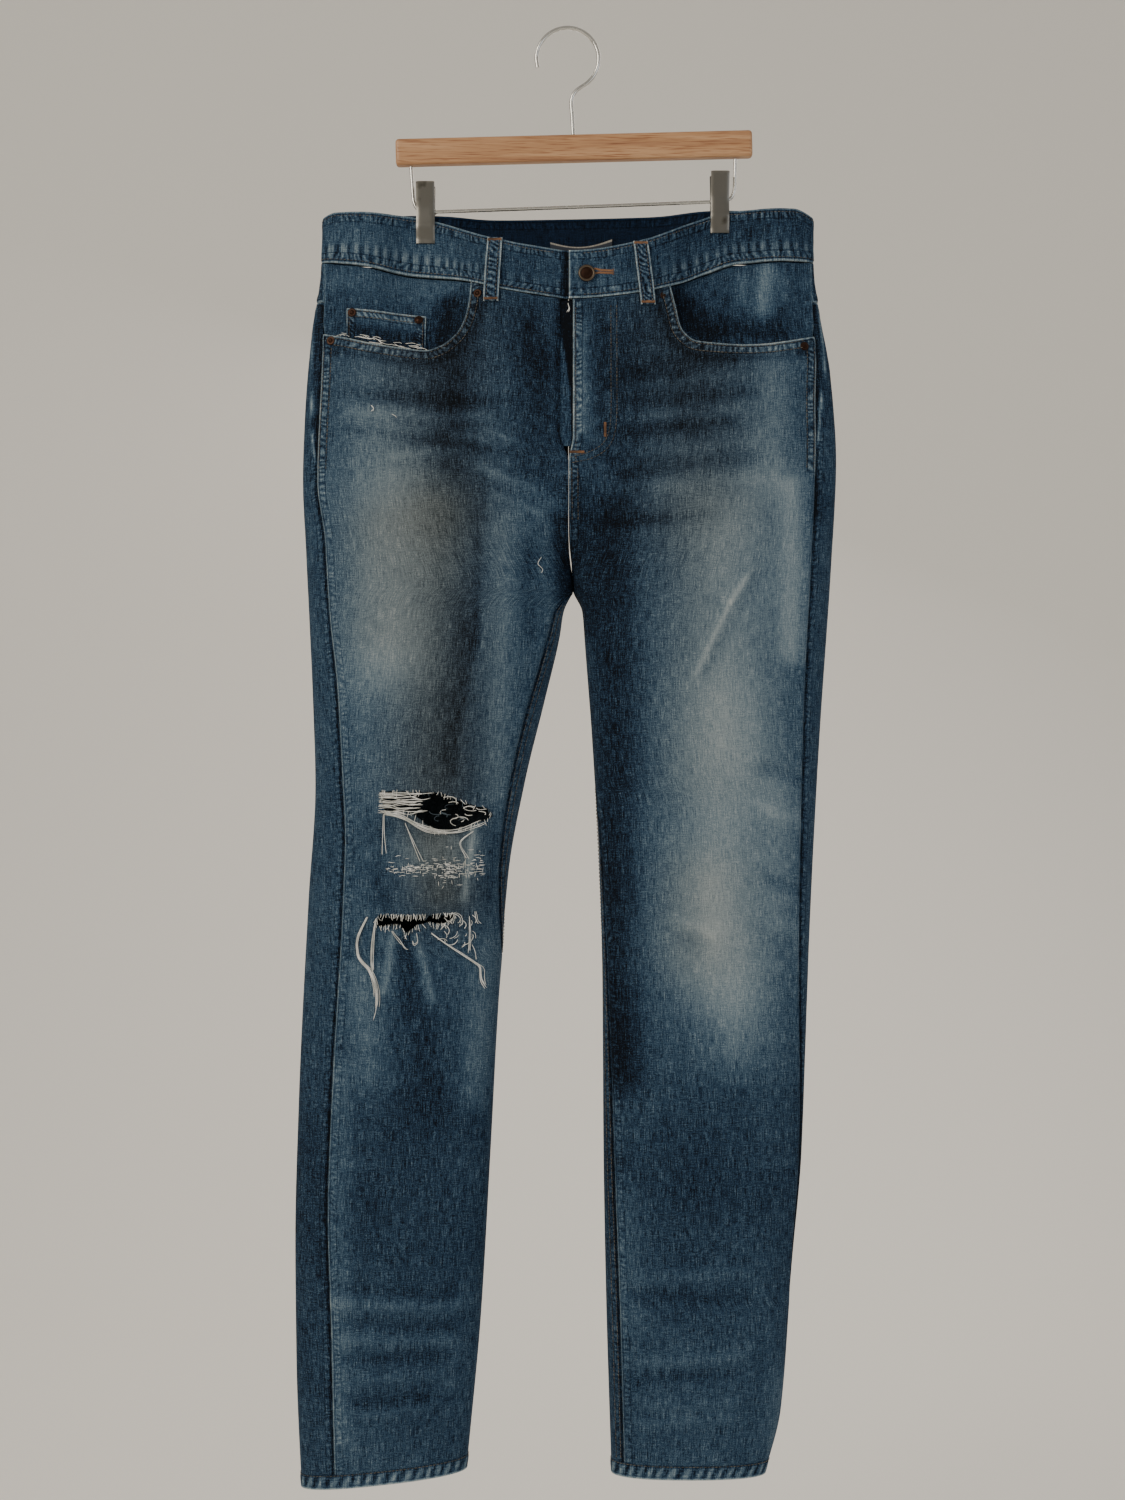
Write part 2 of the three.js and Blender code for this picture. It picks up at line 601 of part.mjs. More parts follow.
// Bent plate of a clip: a side profile of [out, height] carried across the plate's width.
function clipPlate(at, railHeight, facingSign) {
  const width = 16;
  const thick = 1.2;
  const jaw = BAND_IN + BAND_OUT + 0.2 + GAP;
  const outline = [[9, 24], [jaw + 1.2, 6], [jaw + 0.6, -2], [jaw + 2, -14], [jaw, -24], [jaw + 0.4, -28]];
  const inner = outline.map(([out, z]) => [facingSign * out, railHeight + z]);
  const outer = outline.map(([out, z]) => [facingSign * (out + thick), railHeight + z]).reverse();
  const shape = new THREE.Shape([...inner, ...outer].map(([y, z]) => new THREE.Vector2(y, z)));
  const plate = new THREE.ExtrudeGeometry(shape, { depth: width, bevelEnabled: false });
  const basis = new THREE.Matrix4().makeBasis(
    new THREE.Vector3(0, 1, 0), new THREE.Vector3(0, 0, 1), new THREE.Vector3(1, 0, 0),
  );
  return plate.applyMatrix4(basis).translate(at - width / 2, 0, 0);
}

function clipSpring(at, railHeight, tilt) {
  const bore = RAIL_WIRE + 2 * GAP;
  const skin = BAND_IN + BAND_OUT + 0.2;
  const length = 5;
  const ring = [[bore, -length / 2], [skin, -length / 2], [skin, length / 2], [bore, length / 2], [bore, -length / 2]];
  const geometry = new THREE.LatheGeometry(ring.map(([r, h]) => new THREE.Vector2(r, h)), 14);
  return geometry.rotateZ(-Math.PI / 2).rotateY(-tilt).translate(at, 0, railHeight);
}

// ---------------------------------------------------------------- the scene graph

const group = new THREE.Group();

const denim = { color: 0x34495c, roughness: 0.9, metalness: 0 };
const wornDenim = { color: 0x4d6478, roughness: 0.9, metalness: 0 };
const bronze = { color: 0x8a5a36, roughness: 0.4, metalness: 1 };
const steel = { color: 0xb9b6ae, roughness: 0.35, metalness: 1 };
const beech = { color: 0x9c6a45, roughness: 0.55, metalness: 0 };
const tape = { color: 0xcfd0c8, roughness: 0.8, metalness: 0 };

function add(name, geometry, finish) {
  const mesh = new THREE.Mesh(geometry, new THREE.MeshStandardMaterial(finish));
  mesh.name = name;
  group.add(mesh);
  return mesh;
}

for (const [name, side] of Object.entries(SIDES)) {
  const mouth = mouthCutter(name === 'r' ? MOUTH_R : MOUTH_L, side.sign);
  let front = solidOf(legFront(side)).subtract(mouth);
  if (name === 'r') {
    for (const outline of RIPS) front = front.subtract(frontCutter(outline));
  }
  add(`leg_front_${name}`, geometryOf(front), wornDenim);
  add(`leg_back_${name}`, legBack(side), denim);
  add(`yoke_${name}`, yoke(side), denim);
  add(`pocket_facing_${name}`, facing(side), denim);
  add(`back_pocket_${name}`, backPocket(side.sign), wornDenim);
  add(`hem_${name}`, hem(side), wornDenim);
}

add('waistband', waistband(), denim);
add('fly_shield', flyShield(), denim);
add('coin_pocket', coinPocket(), wornDenim);
add('waist_label', waistLabel(), tape);
add('belt_loop_front_r', beltLoop([-62, -186], [-65.5, -241], true), wornDenim);
add('belt_loop_front_l', beltLoop([62.5, -189], [69, -244], true), wornDenim);
add('belt_loop_back_r', beltLoop([-160, -163], [-160, -215], false), wornDenim);
add('belt_loop_back_c', beltLoop([CENTRE, -163], [CENTRE, -215], false), wornDenim);
add('belt_loop_back_l', beltLoop([165, -160], [165, -215], false), wornDenim);

add('button', turned(BUTTON, ...BUTTON_AT, BAND_OUT + GAP + SHANK), bronze);
for (const [name, x, height, lift] of RIVETS) {
  add(name, turned(RIVET, x, height, lift), bronze);
}

const tilt = THREE.MathUtils.degToRad(BAR.tilt);
const barMesh = add('hanger_bar', bar().rotateX(Math.PI / 2), beech);
barMesh.position.set(BAR.centre[0], 0, BAR.centre[1]);
barMesh.rotation.y = -tilt;
add('hanger_hook', hook(), steel);
add('clip_rail', clipRail(), steel);
for (const [name, at] of Object.entries(CLIPS)) {
  const railHeight = RAIL_HEIGHT[name];
  add(`clip_front_${name}`, clipPlate(at, railHeight, -1), steel);
  add(`clip_back_${name}`, clipPlate(at, railHeight, 1), steel);
  const spring = clipSpring(at + SPRING_OFF[name], railHeight + SPRING_LIFT, RAIL_TILT);
  add(`clip_spring_${name}`, spring, steel);
}

export default group;
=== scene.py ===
"""Slim ripped jeans hanging from a clip hanger.

Lengths are millimetres until a mesh is made. +Z is up, the front of the garment faces -Y and the
origin is inside the top of the hook. "r" and "l" are the wearer's right (-X) and left (+X).
"""

from types import SimpleNamespace

import bpy
import mathutils
import numpy as np
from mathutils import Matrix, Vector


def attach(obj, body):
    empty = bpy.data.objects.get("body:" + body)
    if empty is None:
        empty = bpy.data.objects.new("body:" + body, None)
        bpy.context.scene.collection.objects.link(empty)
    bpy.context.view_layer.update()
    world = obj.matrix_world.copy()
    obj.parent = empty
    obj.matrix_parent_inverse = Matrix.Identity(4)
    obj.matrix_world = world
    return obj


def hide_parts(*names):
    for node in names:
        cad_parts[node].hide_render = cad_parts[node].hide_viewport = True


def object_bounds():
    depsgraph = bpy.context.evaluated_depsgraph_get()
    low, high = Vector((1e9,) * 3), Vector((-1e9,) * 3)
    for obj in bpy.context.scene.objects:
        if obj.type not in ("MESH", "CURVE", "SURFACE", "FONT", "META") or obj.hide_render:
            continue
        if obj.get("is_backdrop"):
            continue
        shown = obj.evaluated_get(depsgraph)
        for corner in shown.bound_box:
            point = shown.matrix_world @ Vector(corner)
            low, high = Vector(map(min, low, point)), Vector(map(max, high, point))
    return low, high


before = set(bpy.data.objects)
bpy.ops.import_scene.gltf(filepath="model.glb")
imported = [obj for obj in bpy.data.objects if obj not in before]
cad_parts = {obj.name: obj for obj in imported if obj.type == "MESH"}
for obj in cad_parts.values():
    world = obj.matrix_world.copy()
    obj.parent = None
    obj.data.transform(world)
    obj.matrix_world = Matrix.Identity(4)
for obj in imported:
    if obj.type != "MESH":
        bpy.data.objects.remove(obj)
CAD_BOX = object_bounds()

MM = 0.001
CHANCE = np.random.default_rng(20)

# ---------------------------------------------------------------- small maths


def curve(*keys):
    """Monotone cubic through given (place, value) keys, level beyond both ends. The slope at a key
    is the harmonic mean of the slopes on its two sides, and none where they differ in sign."""
    at, value = np.array(keys, float).T
    slope = np.diff(value) / np.diff(at)
    both = slope[:-1] * slope[1:]
    inner = np.where(both > 0, 2 * both / np.where(both > 0, slope[:-1] + slope[1:], 1), 0)
    tangent = np.concatenate([slope[:1], inner, slope[-1:]])

    def follow(place):
        place = np.clip(place, at[0], at[-1])
        i = np.clip(np.searchsorted(at, place) - 1, 0, len(at) - 2)
        span = at[i + 1] - at[i]
        t = (place - at[i]) / span
        rise = t * t * (3 - 2 * t)
        bend = span * t * (1 - t) * ((1 - t) * tangent[i] - t * tangent[i + 1])
        return value[i] * (1 - rise) + value[i + 1] * rise + bend

    return follow


def ease(value, low, high):
    """0 below low, 1 above high, and a smooth step between."""
    t = np.clip((value - low) / (high - low), 0, 1)
    return t * t * (3 - 2 * t)


def mix(one, two, share):
    return one + (two - one) * share


def bell(distance, reach):
    """1 at no distance, falling as a bell curve to 0.37 at the reach."""
    return np.exp(-((distance / reach) ** 2))


def marks(x, z, table):
    """Sum of soft strokes. Each row is two ends, a reach and an amount, and the stroke falls off as a
    bell with the distance from the line between its ends. A seventh value keeps one side only: 1
    keeps the right of a stroke that runs down, -1 its left, with an edge half its reach wide."""
    total = np.zeros(np.broadcast(x, z).shape)
    for x0, z0, x1, z1, reach, amount, *half in table:
        way = np.array([x1 - x0, z1 - z0], float)
        length = np.hypot(*way)
        way /= max(length, 1e-6)
        along = (x - x0) * way[0] + (z - z0) * way[1]
        off = (x - x0) * -way[1] + (z - z0) * way[0]
        past = along - np.clip(along, 0, length)
        stroke = amount * bell(np.hypot(off, past), reach)
        total += stroke * (ease(off * half[0], -reach / 4, reach / 4) if half else 1)
    return total


def spline(points, count):
    """Points at even steps of length along a Catmull-Rom curve through the given ones."""
    points = np.asarray(points, float)
    padded = np.vstack([2 * points[0] - points[1], points, 2 * points[-1] - points[-2]])
    t = np.linspace(0, len(points) - 1 - 1e-9, 40 * len(points))
    i = t.astype(int)
    t = (t - i)[:, None]
    a, b, c, d = (padded[i + k] for k in range(4))
    fine = b + 0.5 * t * (c - a + t * (2 * a - 5 * b + 4 * c - d + t * (3 * (b - c) + d - a)))
    return resample(fine, count)


def resample(path, count):
    """Points at even steps of length along a path of shape (steps, dimensions)."""
    reach = np.concatenate([[0], np.cumsum(np.linalg.norm(np.diff(path, axis=0), axis=1))])
    at = np.linspace(0, reach[-1], count)
    return np.stack([np.interp(at, reach, path[:, k]) for k in range(path.shape[1])], -1)


def unit(vectors):
    return vectors / np.maximum(np.linalg.norm(vectors, axis=-1, keepdims=True), 1e-9)


# ---------------------------------------------------------------- the garment's form

DENIM = 1.4  # wall of one layer of denim
GAP = 0.3  # air between two pieces at a seam
SEAM_GAP = 0.4  # air along a seam between two panels
BAND_GAP = 0.9  # air under the waistband's curved seam
BAND_OUT = 0.6  # how far the waistband stands out from the body surface
BAND_IN = 2.0  # and how far it reaches in
HEM_OUT, HEM_IN, HEM_HEIGHT = 0.5, 1.7, 12
SQUARE = 0.82  # below 1 makes a section boxier than an ellipse

WAIST, BAND_SEAM, CROTCH, HEM = -162, -203, -488, -1250  # nominal heights
CENTRE, FORK = 1, 5  # the rise seam across the body, and at the crotch

CLIPS = {"r": -123, "l": 132}
PINCH_REACH = 38  # half width of cloth drawn together by a clip
PINCH_FADE = (-300, -185)
PINCHED = BAND_IN + 0.2
TILT_FROM, TILT = -122, 0.112  # the right hem's slope across, and where it is level
FINE = 260  # samples of a section before it is cut into even columns

DEPTH_FRONT = curve(
    (-1262, 25), (-1150, 28), (-1000, 30), (-850, 33), (-740, 36), (-600, 40),
    (-500, 43), (-430, 40), (-350, 36), (-266, 31), (-203, 25), (-160, 22),
)
DEPTH_BACK = curve(
    (-1262, 22), (-1150, 26), (-1000, 28), (-850, 31), (-740, 33), (-600, 37),
    (-500, 42), (-430, 41), (-350, 37), (-266, 29), (-203, 19), (-160, 15),
)
RISE = curve((CROTCH, FORK), (-430, CENTRE), (WAIST, CENTRE))

# The edges of the waistband, as place across and height.
TOP_FRONT = curve(
    (-213, -165), (-200, -161), (-140, -163), (-115, -167), (-66, -185), (5, -196.5),
    (66, -187), (115, -166), (140, -158), (195, -158), (214, -165),
)
TOP_BACK = curve(
    (-213, -165), (-200, -161), (-66, -162), (5, -161), (85, -159), (140, -157), (195, -158), (214, -165),
)
SEAM_FRONT = curve(
    (-213, -203), (-175, -208), (-138, -214), (-105, -217), (-55, -230), (5, -238),
    (64, -232.5), (95, -224), (119, -213), (148, -204), (214, -203),
)

# Each side: its silhouettes, and how far inside them its two seams lie, positive on the front.
RIGHT = SimpleNamespace(
    sign=-1,
    outer=curve(
        (-1262, -230), (-1150, -235), (-1050, -236), (-930, -233), (-755, -224.5), (-655, -218.5),
        (-598, -220), (-455, -226.5), (-390, -229.5), (-340, -228), (-266, -222), (-203, -213), (-160, -212),
    ),
    inner=curve(
        (-1250, -87), (-1117, -75), (-972, -66.5), (-851, -60), (-732, -51), (-654, -37), (-582, -19.5),
        (-527, -6.5), (-505, -3), (CROTCH, FORK),
    ),
    outseam=curve(
        (-1250, 31), (-1150, 33), (-1000, 30), (-900, 31), (-770, 32.5), (-712, 31), (-650, 26),
        (-570, 24), (-505, 20), (-445, 19), (-395, 14), (-330, 14), (-266, 11), (-203, 2),
    ),
    inseam=curve(
        (-1250, -14), (-1000, -14), (-900, -8), (-800, 0), (-725, 8), (-650, 12), (-600, 13),
        (-550, 11), (-510, 8), (CROTCH, 0),
    ),
    open_fly=7.5,
)
LEFT = SimpleNamespace(
    sign=1,
    outer=curve(
        (-1252, 171), (-1195, 185), (-1070, 194), (-972, 202.5), (-765, 210.5), (-620, 218),
        (-465, 228.5), (-375, 233), (-300, 228), (-243, 218), (-203, 213), (-160, 213),
    ),
    inner=curve(
        (-1254, 38), (-1088, 33), (-972, 31), (-825, 30), (-679, 25.5), (-606, 20.5),
        (-528, 14.5), (-505, 13), (CROTCH, FORK),
    ),
    outseam=curve(
        (-1250, -2), (-1100, 0), (-950, 3), (-825, 9), (-655, 15), (-508, 19.5),
        (-400, 20), (-340, 18), (-266, 9), (-203, 2),
    ),
    inseam=curve((-1254, 10.5), (-1127, 11), (-972, 8.5), (-800, 4), (-704, 2), (-560, -4), (CROTCH, 0)),
    open_fly=3.6,
)
SIDES = {"r": RIGHT, "l": LEFT}

# The largest folds of the fronts, each a soft ridge or trough along a line that dies away at its ends.
FOLDS = [
    (-62, -385, -88, -665, 15, 5),
    (-86, -400, -114, -650, 20, -4),
    (140, -330, 128, -880, 42, 4),
    (42, -330, 52, -700, 28, -4),
]

# Smaller creases, as soft strokes whose amounts are rises in mm.
CREASES_FRONT = [
    (-170, -325, -84, -331, 6, -1.2),
    (-84, -357, -38, -374, 5, 1.2),
    (-76, -385, -30, -404, 5, 1.1),
    (-150, -352, -96, -345, 6, 0.8),
    (-33, -457, -30, -528, 8, -1.6),
    (36, -312, 96, -304, 6, -1.2),
    (34, -354, 104, -346, 6, -1.2),
    (30, -378, 92, -377, 5, -1.0),
    (24, -432, 84, -430, 7, -1.2),
    (30, -402, 96, -398, 5, 1.0),
    (156, -472, 138, -499, 3, 1.1),
    (138, -499, 108, -562, 3, 1.0),
    (162, -476, 118, -560, 6, -1.0),
    (108, -786, 109, -792, 9, -1.4),
    (92, -770, 124, -782, 6, 1.2),
    (-148, -780, -156, -830, 4, 1.5),
    (-128, -785, -115, -838, 4, 1.6),
    (-138, -790, -136, -850, 6, -1.0),
    (170, -640, 206, -655, 7, -1.6),
    (166, -672, 205, -690, 7, 1.4),
    (172, -735, 207, -748, 7, -1.4),
    (180, -775, 206, -786, 7, 1.2),
    (-205, -1084, -100, -1092, 6, -1.1),
    (-205, -1098, -92, -1101, 5, 1.4),
    (-200, -1113, -98, -1118, 5, -1.2),
    (-190, -1130, -100, -1131, 5, 1.3),
    (-196, -1146, -104, -1143, 5, -1.2),
    (-176, -1163, -108, -1160, 5, 1.2),
    (-186, -1184, -120, -1179, 6, -1.2),
    (-176, -1196, -118, -1186, 4, 1.2),
    (60, -1077, 150, -1072, 6, 1.2),
    (56, -1092, 152, -1094, 6, -1.2),
    (62, -1150, 150, -1143, 5, 1.3),
    (60, -1164, 148, -1158, 6, -1.2),
    (66, -1186, 146, -1183, 5, 1.2),
    (64, -1202, 140, -1197, 5, 1.1),
]
CREASES_BACK = [
    (-150, -470, -40, -500, 9, -2.0),
    (-140, -492, -36, -520, 8, 1.6),
    (46, -500, 150, -472, 9, -2.0),
    (40, -522, 146, -494, 8, 1.6),
    (-180, -700, -90, -716, 8, -2.0),
    (-176, -722, -84, -730, 7, 1.8),
    (-184, -746, -92, -742, 8, -1.8),
    (-170, -766, -96, -768, 7, 1.5),
    (72, -704, 170, -694, 8, -2.0),
    (70, -722, 166, -718, 7, 1.8),
    (76, -744, 172, -740, 8, -1.8),
    (-190, -1096, -120, -1102, 6, 1.4),
    (-186, -1120, -118, -1118, 6, -1.3),
    (-184, -1150, -122, -1146, 6, 1.3),
    (70, -1100, 150, -1096, 6, 1.4),
    (68, -1126, 148, -1124, 6, -1.3),
    (70, -1158, 146, -1152, 6, 1.3),
]


def power(value):
    return np.sign(value) * np.abs(value) ** SQUARE


def pinch(x, z):
    """How far a clip draws front and back together: a flat-topped bell about each clip."""
    near = [np.exp(-((np.abs(x - at) / PINCH_REACH) ** 3)) for at in CLIPS.values()]
    return np.maximum(*near) * ease(z, *PINCH_FADE)


def folds(x, z):
    """Sum of the largest folds: a bell across each line, eased in and out at its ends."""
    total = 0
    for x0, z0, x1, z1, reach, rise in FOLDS:
        along = (z - z0) / (z1 - z0)
        ends = ease(along, -0.15, 0.2) * (1 - ease(along, 0.8, 1.15))
        total = total + rise * ends * bell(x - mix(x0, x1, along), reach)
    return total


def turn(z, front):
    """Angle at which a section ends: half a turn on a leg, a quarter where both sides join."""
    fade = np.where(front, ease(z, -480, -395), ease(z, CROTCH, -400))
    return np.pi * (1 - 0.5 * fade)


def sweep(side, z, front):
    """Half width that the angle sweeps, from the outer silhouette to the inner one."""
    inner = np.where(z > CROTCH, RISE(z), side.inner(z)) + side.sign * SEAM_GAP / 2
    return (inner - side.outer(z)) / (1 - power(np.cos(turn(z, front))))


def sag(x, z, front):
    """The front waist dips to its sewn line, and the right hem hangs lower on its outside."""
    waist = np.where(front, (SEAM_FRONT(x) - BAND_SEAM) * ease(z, -420, BAND_SEAM), 0)
    tilt = np.where(x < CENTRE, (x - TILT_FROM) * TILT * (1 - ease(z, HEM, -1100)), 0)
    return waist + tilt


def form(side, angle, z):
    """A side's surface: a squared ellipse at each height. Angle 0 is the outer edge, positive angles
    go over the front. Folds and creases stand out from it, and the clips press it flat."""
    angle, z = np.broadcast_arrays(np.asarray(angle, float), np.asarray(z, float))
    front = np.sin(angle) >= 0
    x = side.outer(z) + sweep(side, z, front) * (1 - power(np.cos(angle)))
    swing = np.abs(power(np.sin(angle)))
    height = z + sag(x, z, front)
    depth = np.where(front, DEPTH_FRONT(z) + folds(x, z), DEPTH_BACK(z))
    crease = np.where(front, marks(x, height, CREASES_FRONT), marks(x, height, CREASES_BACK))
    loose = depth * swing + crease * np.minimum(1, 2 * swing)
    out = mix(loose, PINCHED, pinch(x, z) * np.minimum(1, swing * 3))
    return np.stack([x, np.where(front, -out, out), height], -1)


def angle_at(side, x, z, front):
    """The angle of a place across the front or back."""
    level = 1 - (x - side.outer(z)) / sweep(side, z, front)
    cosine = np.sign(level) * np.abs(level) ** (1 / SQUARE)
    return np.arccos(np.clip(cosine, -1, 1)) * np.where(front, 1, -1)


def face(x, height, front):
    """Point of the front or back at a true place across and height, by taking the sag off in turns."""
    x, height = np.broadcast_arrays(np.asarray(x, float), np.asarray(height, float))
    z = height
    for _ in range(12):
        z = height - sag(x, z, front)
    right = form(RIGHT, angle_at(RIGHT, x, z, front), z)
    left = form(LEFT, angle_at(LEFT, x, z, front), z)
    return np.where((x < CENTRE)[..., None], right, left)


def face_normal(x, height, front):
    """Outward normal of the face: the cross product of its slopes across and up."""
    across = face(x + 1, height, front) - face(x - 1, height, front)
    up = face(x, height + 1, front) - face(x, height - 1, front)
    normal = unit(np.cross(across, up))
    return normal if front else -normal


def skin(x, height, front, lift=0.0):
    """Points of the front or back, raised along its normals by the lift, and those normals."""
    normal = face_normal(x, height, front)
    return face(x, height, front) + normal * lift, normal


def level_normal(way, sign):
    """Level normals of a line whose way is given: to its right seen from above, or its left at -1."""
    return unit(np.stack([way[:, 1], -way[:, 0], 0 * way[:, 0]], -1)) * sign


NUDGE = 0.01  # a small turn of a section's angle


def nudged(side, angle, z):
    """How far the surface moves between a nudge back and a nudge on."""
    return form(side, angle + NUDGE, z) - form(side, angle - NUDGE, z)


def slide(side, angle, z, distance):
    """Moves an angle a distance along the cloth."""
    return angle + distance * 2 * NUDGE / np.linalg.norm(nudged(side, angle, z), axis=-1)


def silhouette_angle(side, z, inside):
    """Angle, from a silhouette, of a line that lies inside it on the front, or behind if negative."""
    level = 1 - np.abs(inside / sweep(side, z, True))
    return np.sign(inside) * np.arccos(level ** (1 / SQUARE))


def panel_angles(side, z, front):
    """Angles at which a panel starts and ends at a height, the outer edge first."""
    way = 1 if front else -1
    outer = slide(side, silhouette_angle(side, z, side.outseam(z)), z, way * SEAM_GAP / 2)
    seam = way * np.pi - silhouette_angle(side, np.minimum(z, CROTCH), side.inseam(z))
    inseam = slide(side, seam, z, -way * SEAM_GAP / 2)
    centre = way * turn(z, front)
    if front:
        gap = np.maximum(side.open_fly * ease(z, -376, -348), SEAM_GAP / 2)
        centre = np.where(gap > 0.5, angle_at(side, CENTRE + side.sign * gap, z, True), centre)
    return outer, np.where(z <= CROTCH, inseam, centre)


# ---------------------------------------------------------------- meshes


def ride(made, instead=()):
    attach(made, "root")
    if instead:
        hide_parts(*instead)
    return made


def build(name, points, faces, finishes, uv=None, values=None, parts=None, sharp=40):
    """Mesh object from points in mm and a list of face arrays, each of its own corner count. Values
    are named numbers for each point, and parts is the material number of each face."""
    mesh = bpy.data.meshes.new(name)
    sizes = np.concatenate([np.full(len(f), f.shape[1]) for f in faces])
    loops = np.concatenate([f.ravel() for f in faces]).astype(np.int32)
    mesh.vertices.add(len(points))
    mesh.vertices.foreach_set("co", (np.asarray(points) * MM).astype(np.float32).ravel())
    mesh.loops.add(len(loops))
    mesh.loops.foreach_set("vertex_index", loops)
    mesh.polygons.add(len(sizes))
    mesh.polygons.foreach_set("loop_start", (np.cumsum(sizes) - sizes).astype(np.int32))
    mesh.polygons.foreach_set("use_smooth", np.ones(len(sizes), bool))
    if parts is not None:
        mesh.polygons.foreach_set("material_index", parts.astype(np.int32))
    mesh.update(calc_edges=True)
    if uv is not None:
        layer = mesh.uv_layers.new(name="UVMap")
        layer.data.foreach_set("uv", np.asarray(uv, np.float32)[loops].ravel())
    for key, value in (values or {}).items():
        layer = mesh.attributes.new(key, "FLOAT", "POINT")
        layer.data.foreach_set("value", np.asarray(value, np.float32).ravel())
    for finish in finishes:
        mesh.materials.append(finish)
    mesh.set_sharp_from_angle(angle=np.radians(sharp))
    made = bpy.data.objects.new(name, mesh)
    bpy.context.scene.collection.objects.link(made)
    return made


def ring_quads(rings, sides, first=0):
    """Quads between rings of as many points as there are sides, numbered one ring after another."""
    r, s = np.meshgrid(np.arange(rings - 1), np.arange(sides), indexing="ij")
    corner = lambda row, col: first + row * sides + col % sides
    quads = np.stack([corner(r, s), corner(r, s + 1), corner(r + 1, s + 1), corner(r + 1, s)], -1)
    return quads.reshape(-1, 4)


def grid_normals(points, ring=False):
    """Normals of a grid whose rows run down and columns run right, seen from outside: the cross
    product of its slope down and its slope to the right."""
    down = np.gradient(points, axis=0)
    if ring:
        right = np.roll(points, -1, axis=1) - np.roll(points, 1, axis=1)
    else:
        right = np.gradient(points, axis=1)
    return unit(np.cross(down, right))


def wall(name, points, out, thick, finishes, uv, values, keep=None, ring=False):
    """Closed wall on a grid: the outer face lies `out` along the normals, the inner one `thick` below
    it, and every rim, also round a hole, is closed by quads between the two. keep says which cells
    of the grid are cloth."""
    rows, columns = points.shape[:2]
    spans = columns if ring else columns - 1
    normals = grid_normals(points, ring)
    out = np.broadcast_to(out, (rows, columns))[..., None]
    layers = np.stack([points + normals * out, points + normals * (out - thick)])
    number = np.arange(2 * rows * columns).reshape(2, rows, columns)
    if ring:
        number = np.concatenate([number, number[:, :, :1]], axis=2)
    keep = np.ones((rows - 1, spans), bool) if keep is None else keep
    a, b = number[:, :-1, :-1], number[:, 1:, :-1]
    c, d = number[:, 1:, 1:], number[:, :-1, 1:]
    none = np.zeros_like(keep)
    above, below, before, after = none.copy(), none.copy(), none.copy(), none.copy()
    above[1:], below[:-1] = keep[:-1], keep[1:]
    before[:, 1:], after[:, :-1] = keep[:, :-1], keep[:, 1:]
    if ring:
        before[:, 0], after[:, -1] = keep[:, -1], keep[:, 0]
    quads = lambda mask, *corners: np.stack([corner[mask] for corner in corners], -1)
    faces = [
        quads(keep, a[0], b[0], c[0], d[0]),
        quads(keep, a[1], d[1], c[1], b[1]),
        quads(keep & ~above, a[0], d[0], d[1], a[1]),
        quads(keep & ~below, b[0], b[1], c[1], c[0]),
        quads(keep & ~before, a[0], a[1], b[1], b[0]),
        quads(keep & ~after, d[0], c[0], c[1], d[1]),
    ]
    parts = np.concatenate([np.full(len(f), 1 if k == 1 else 0) for k, f in enumerate(faces)])
    every = np.concatenate(faces)
    used, every = np.unique(every, return_inverse=True)
    every = every.reshape(-1, 4)
    pick = lambda value: np.broadcast_to(value, (2, rows, columns)).reshape(-1)[used]
    flat = np.stack([pick(uv[..., 0]), pick(uv[..., 1])], -1)
    named = {key: pick(value) for key, value in values.items()}
    return build(name, layers.reshape(-1, 3)[used], [every], finishes, flat, named, parts)


def inside(outline, x, z):
    """Whether each point lies in a closed outline: a ray to its right crosses it an odd number of times."""
    within = np.zeros(np.shape(x), bool)
    for (x0, z0), (x1, z1) in zip(outline, np.roll(outline, -1, axis=0)):
        if z0 == z1:
            continue
        crosses = ((z0 > z) != (z1 > z)) & (x < (x1 - x0) * (z - z0) / (z1 - z0) + x0)
        within ^= crosses
    return within


def nearest(outline, x, z):
    """The vector from each point to the closest point of an outline."""
    start, end = np.asarray(outline), np.roll(outline, -1, axis=0)
    way = end - start
    here = np.stack([x, z], -1)[..., None, :]
    t = ((here - start) * way).sum(-1) / np.maximum((way**2).sum(-1), 1e-9)
    gap = start + np.clip(t, 0, 1)[..., None] * way - here
    best = np.argmin((gap**2).sum(-1), axis=-1)
    return np.take_along_axis(gap, best[..., None, None], axis=-2)[..., 0, :]


def cut(points, outlines, reach=2.2):
    """Cells to keep once the outlines are cut out, and the points with those on a cut's rim moved
    onto its outline, staying on the surface."""
    centre = (points[:-1, :-1] + points[1:, :-1] + points[1:, 1:] + points[:-1, 1:]) / 4
    keep = np.ones(centre.shape[:2], bool)
    points = points.copy()
    normals = grid_normals(points)
    for outline in outlines:
        gone = inside(outline, centre[..., 0], centre[..., 2])
        keep &= ~gone
        pad = np.pad(gone, 1)
        count = pad[:-1, :-1].astype(int) + pad[1:, :-1] + pad[1:, 1:] + pad[:-1, 1:]
        rim = (count > 0) & (count < 4)
        gap = nearest(outline, points[rim][:, 0], points[rim][:, 2])
        gap[np.linalg.norm(gap, axis=1) > reach] = 0
        normal = normals[rim]
        rise = -(normal[:, 0] * gap[:, 0] + normal[:, 2] * gap[:, 1]) / np.where(
            np.abs(normal[:, 1]) > 0.2, normal[:, 1], 1
        )
        points[rim] += np.stack([gap[:, 0], rise, gap[:, 1]], -1)
    return keep, points


# ---------------------------------------------------------------- materials


def linear(hex_colour):
    """sRGB hex to the linear colour that a shader takes."""
    value = np.array([int(hex_colour[k : k + 2], 16) for k in (1, 3, 5)]) / 255
    value = np.where(value <= 0.04045, value / 12.92, ((value + 0.055) / 1.055) ** 2.4)
    return (*value, 1)


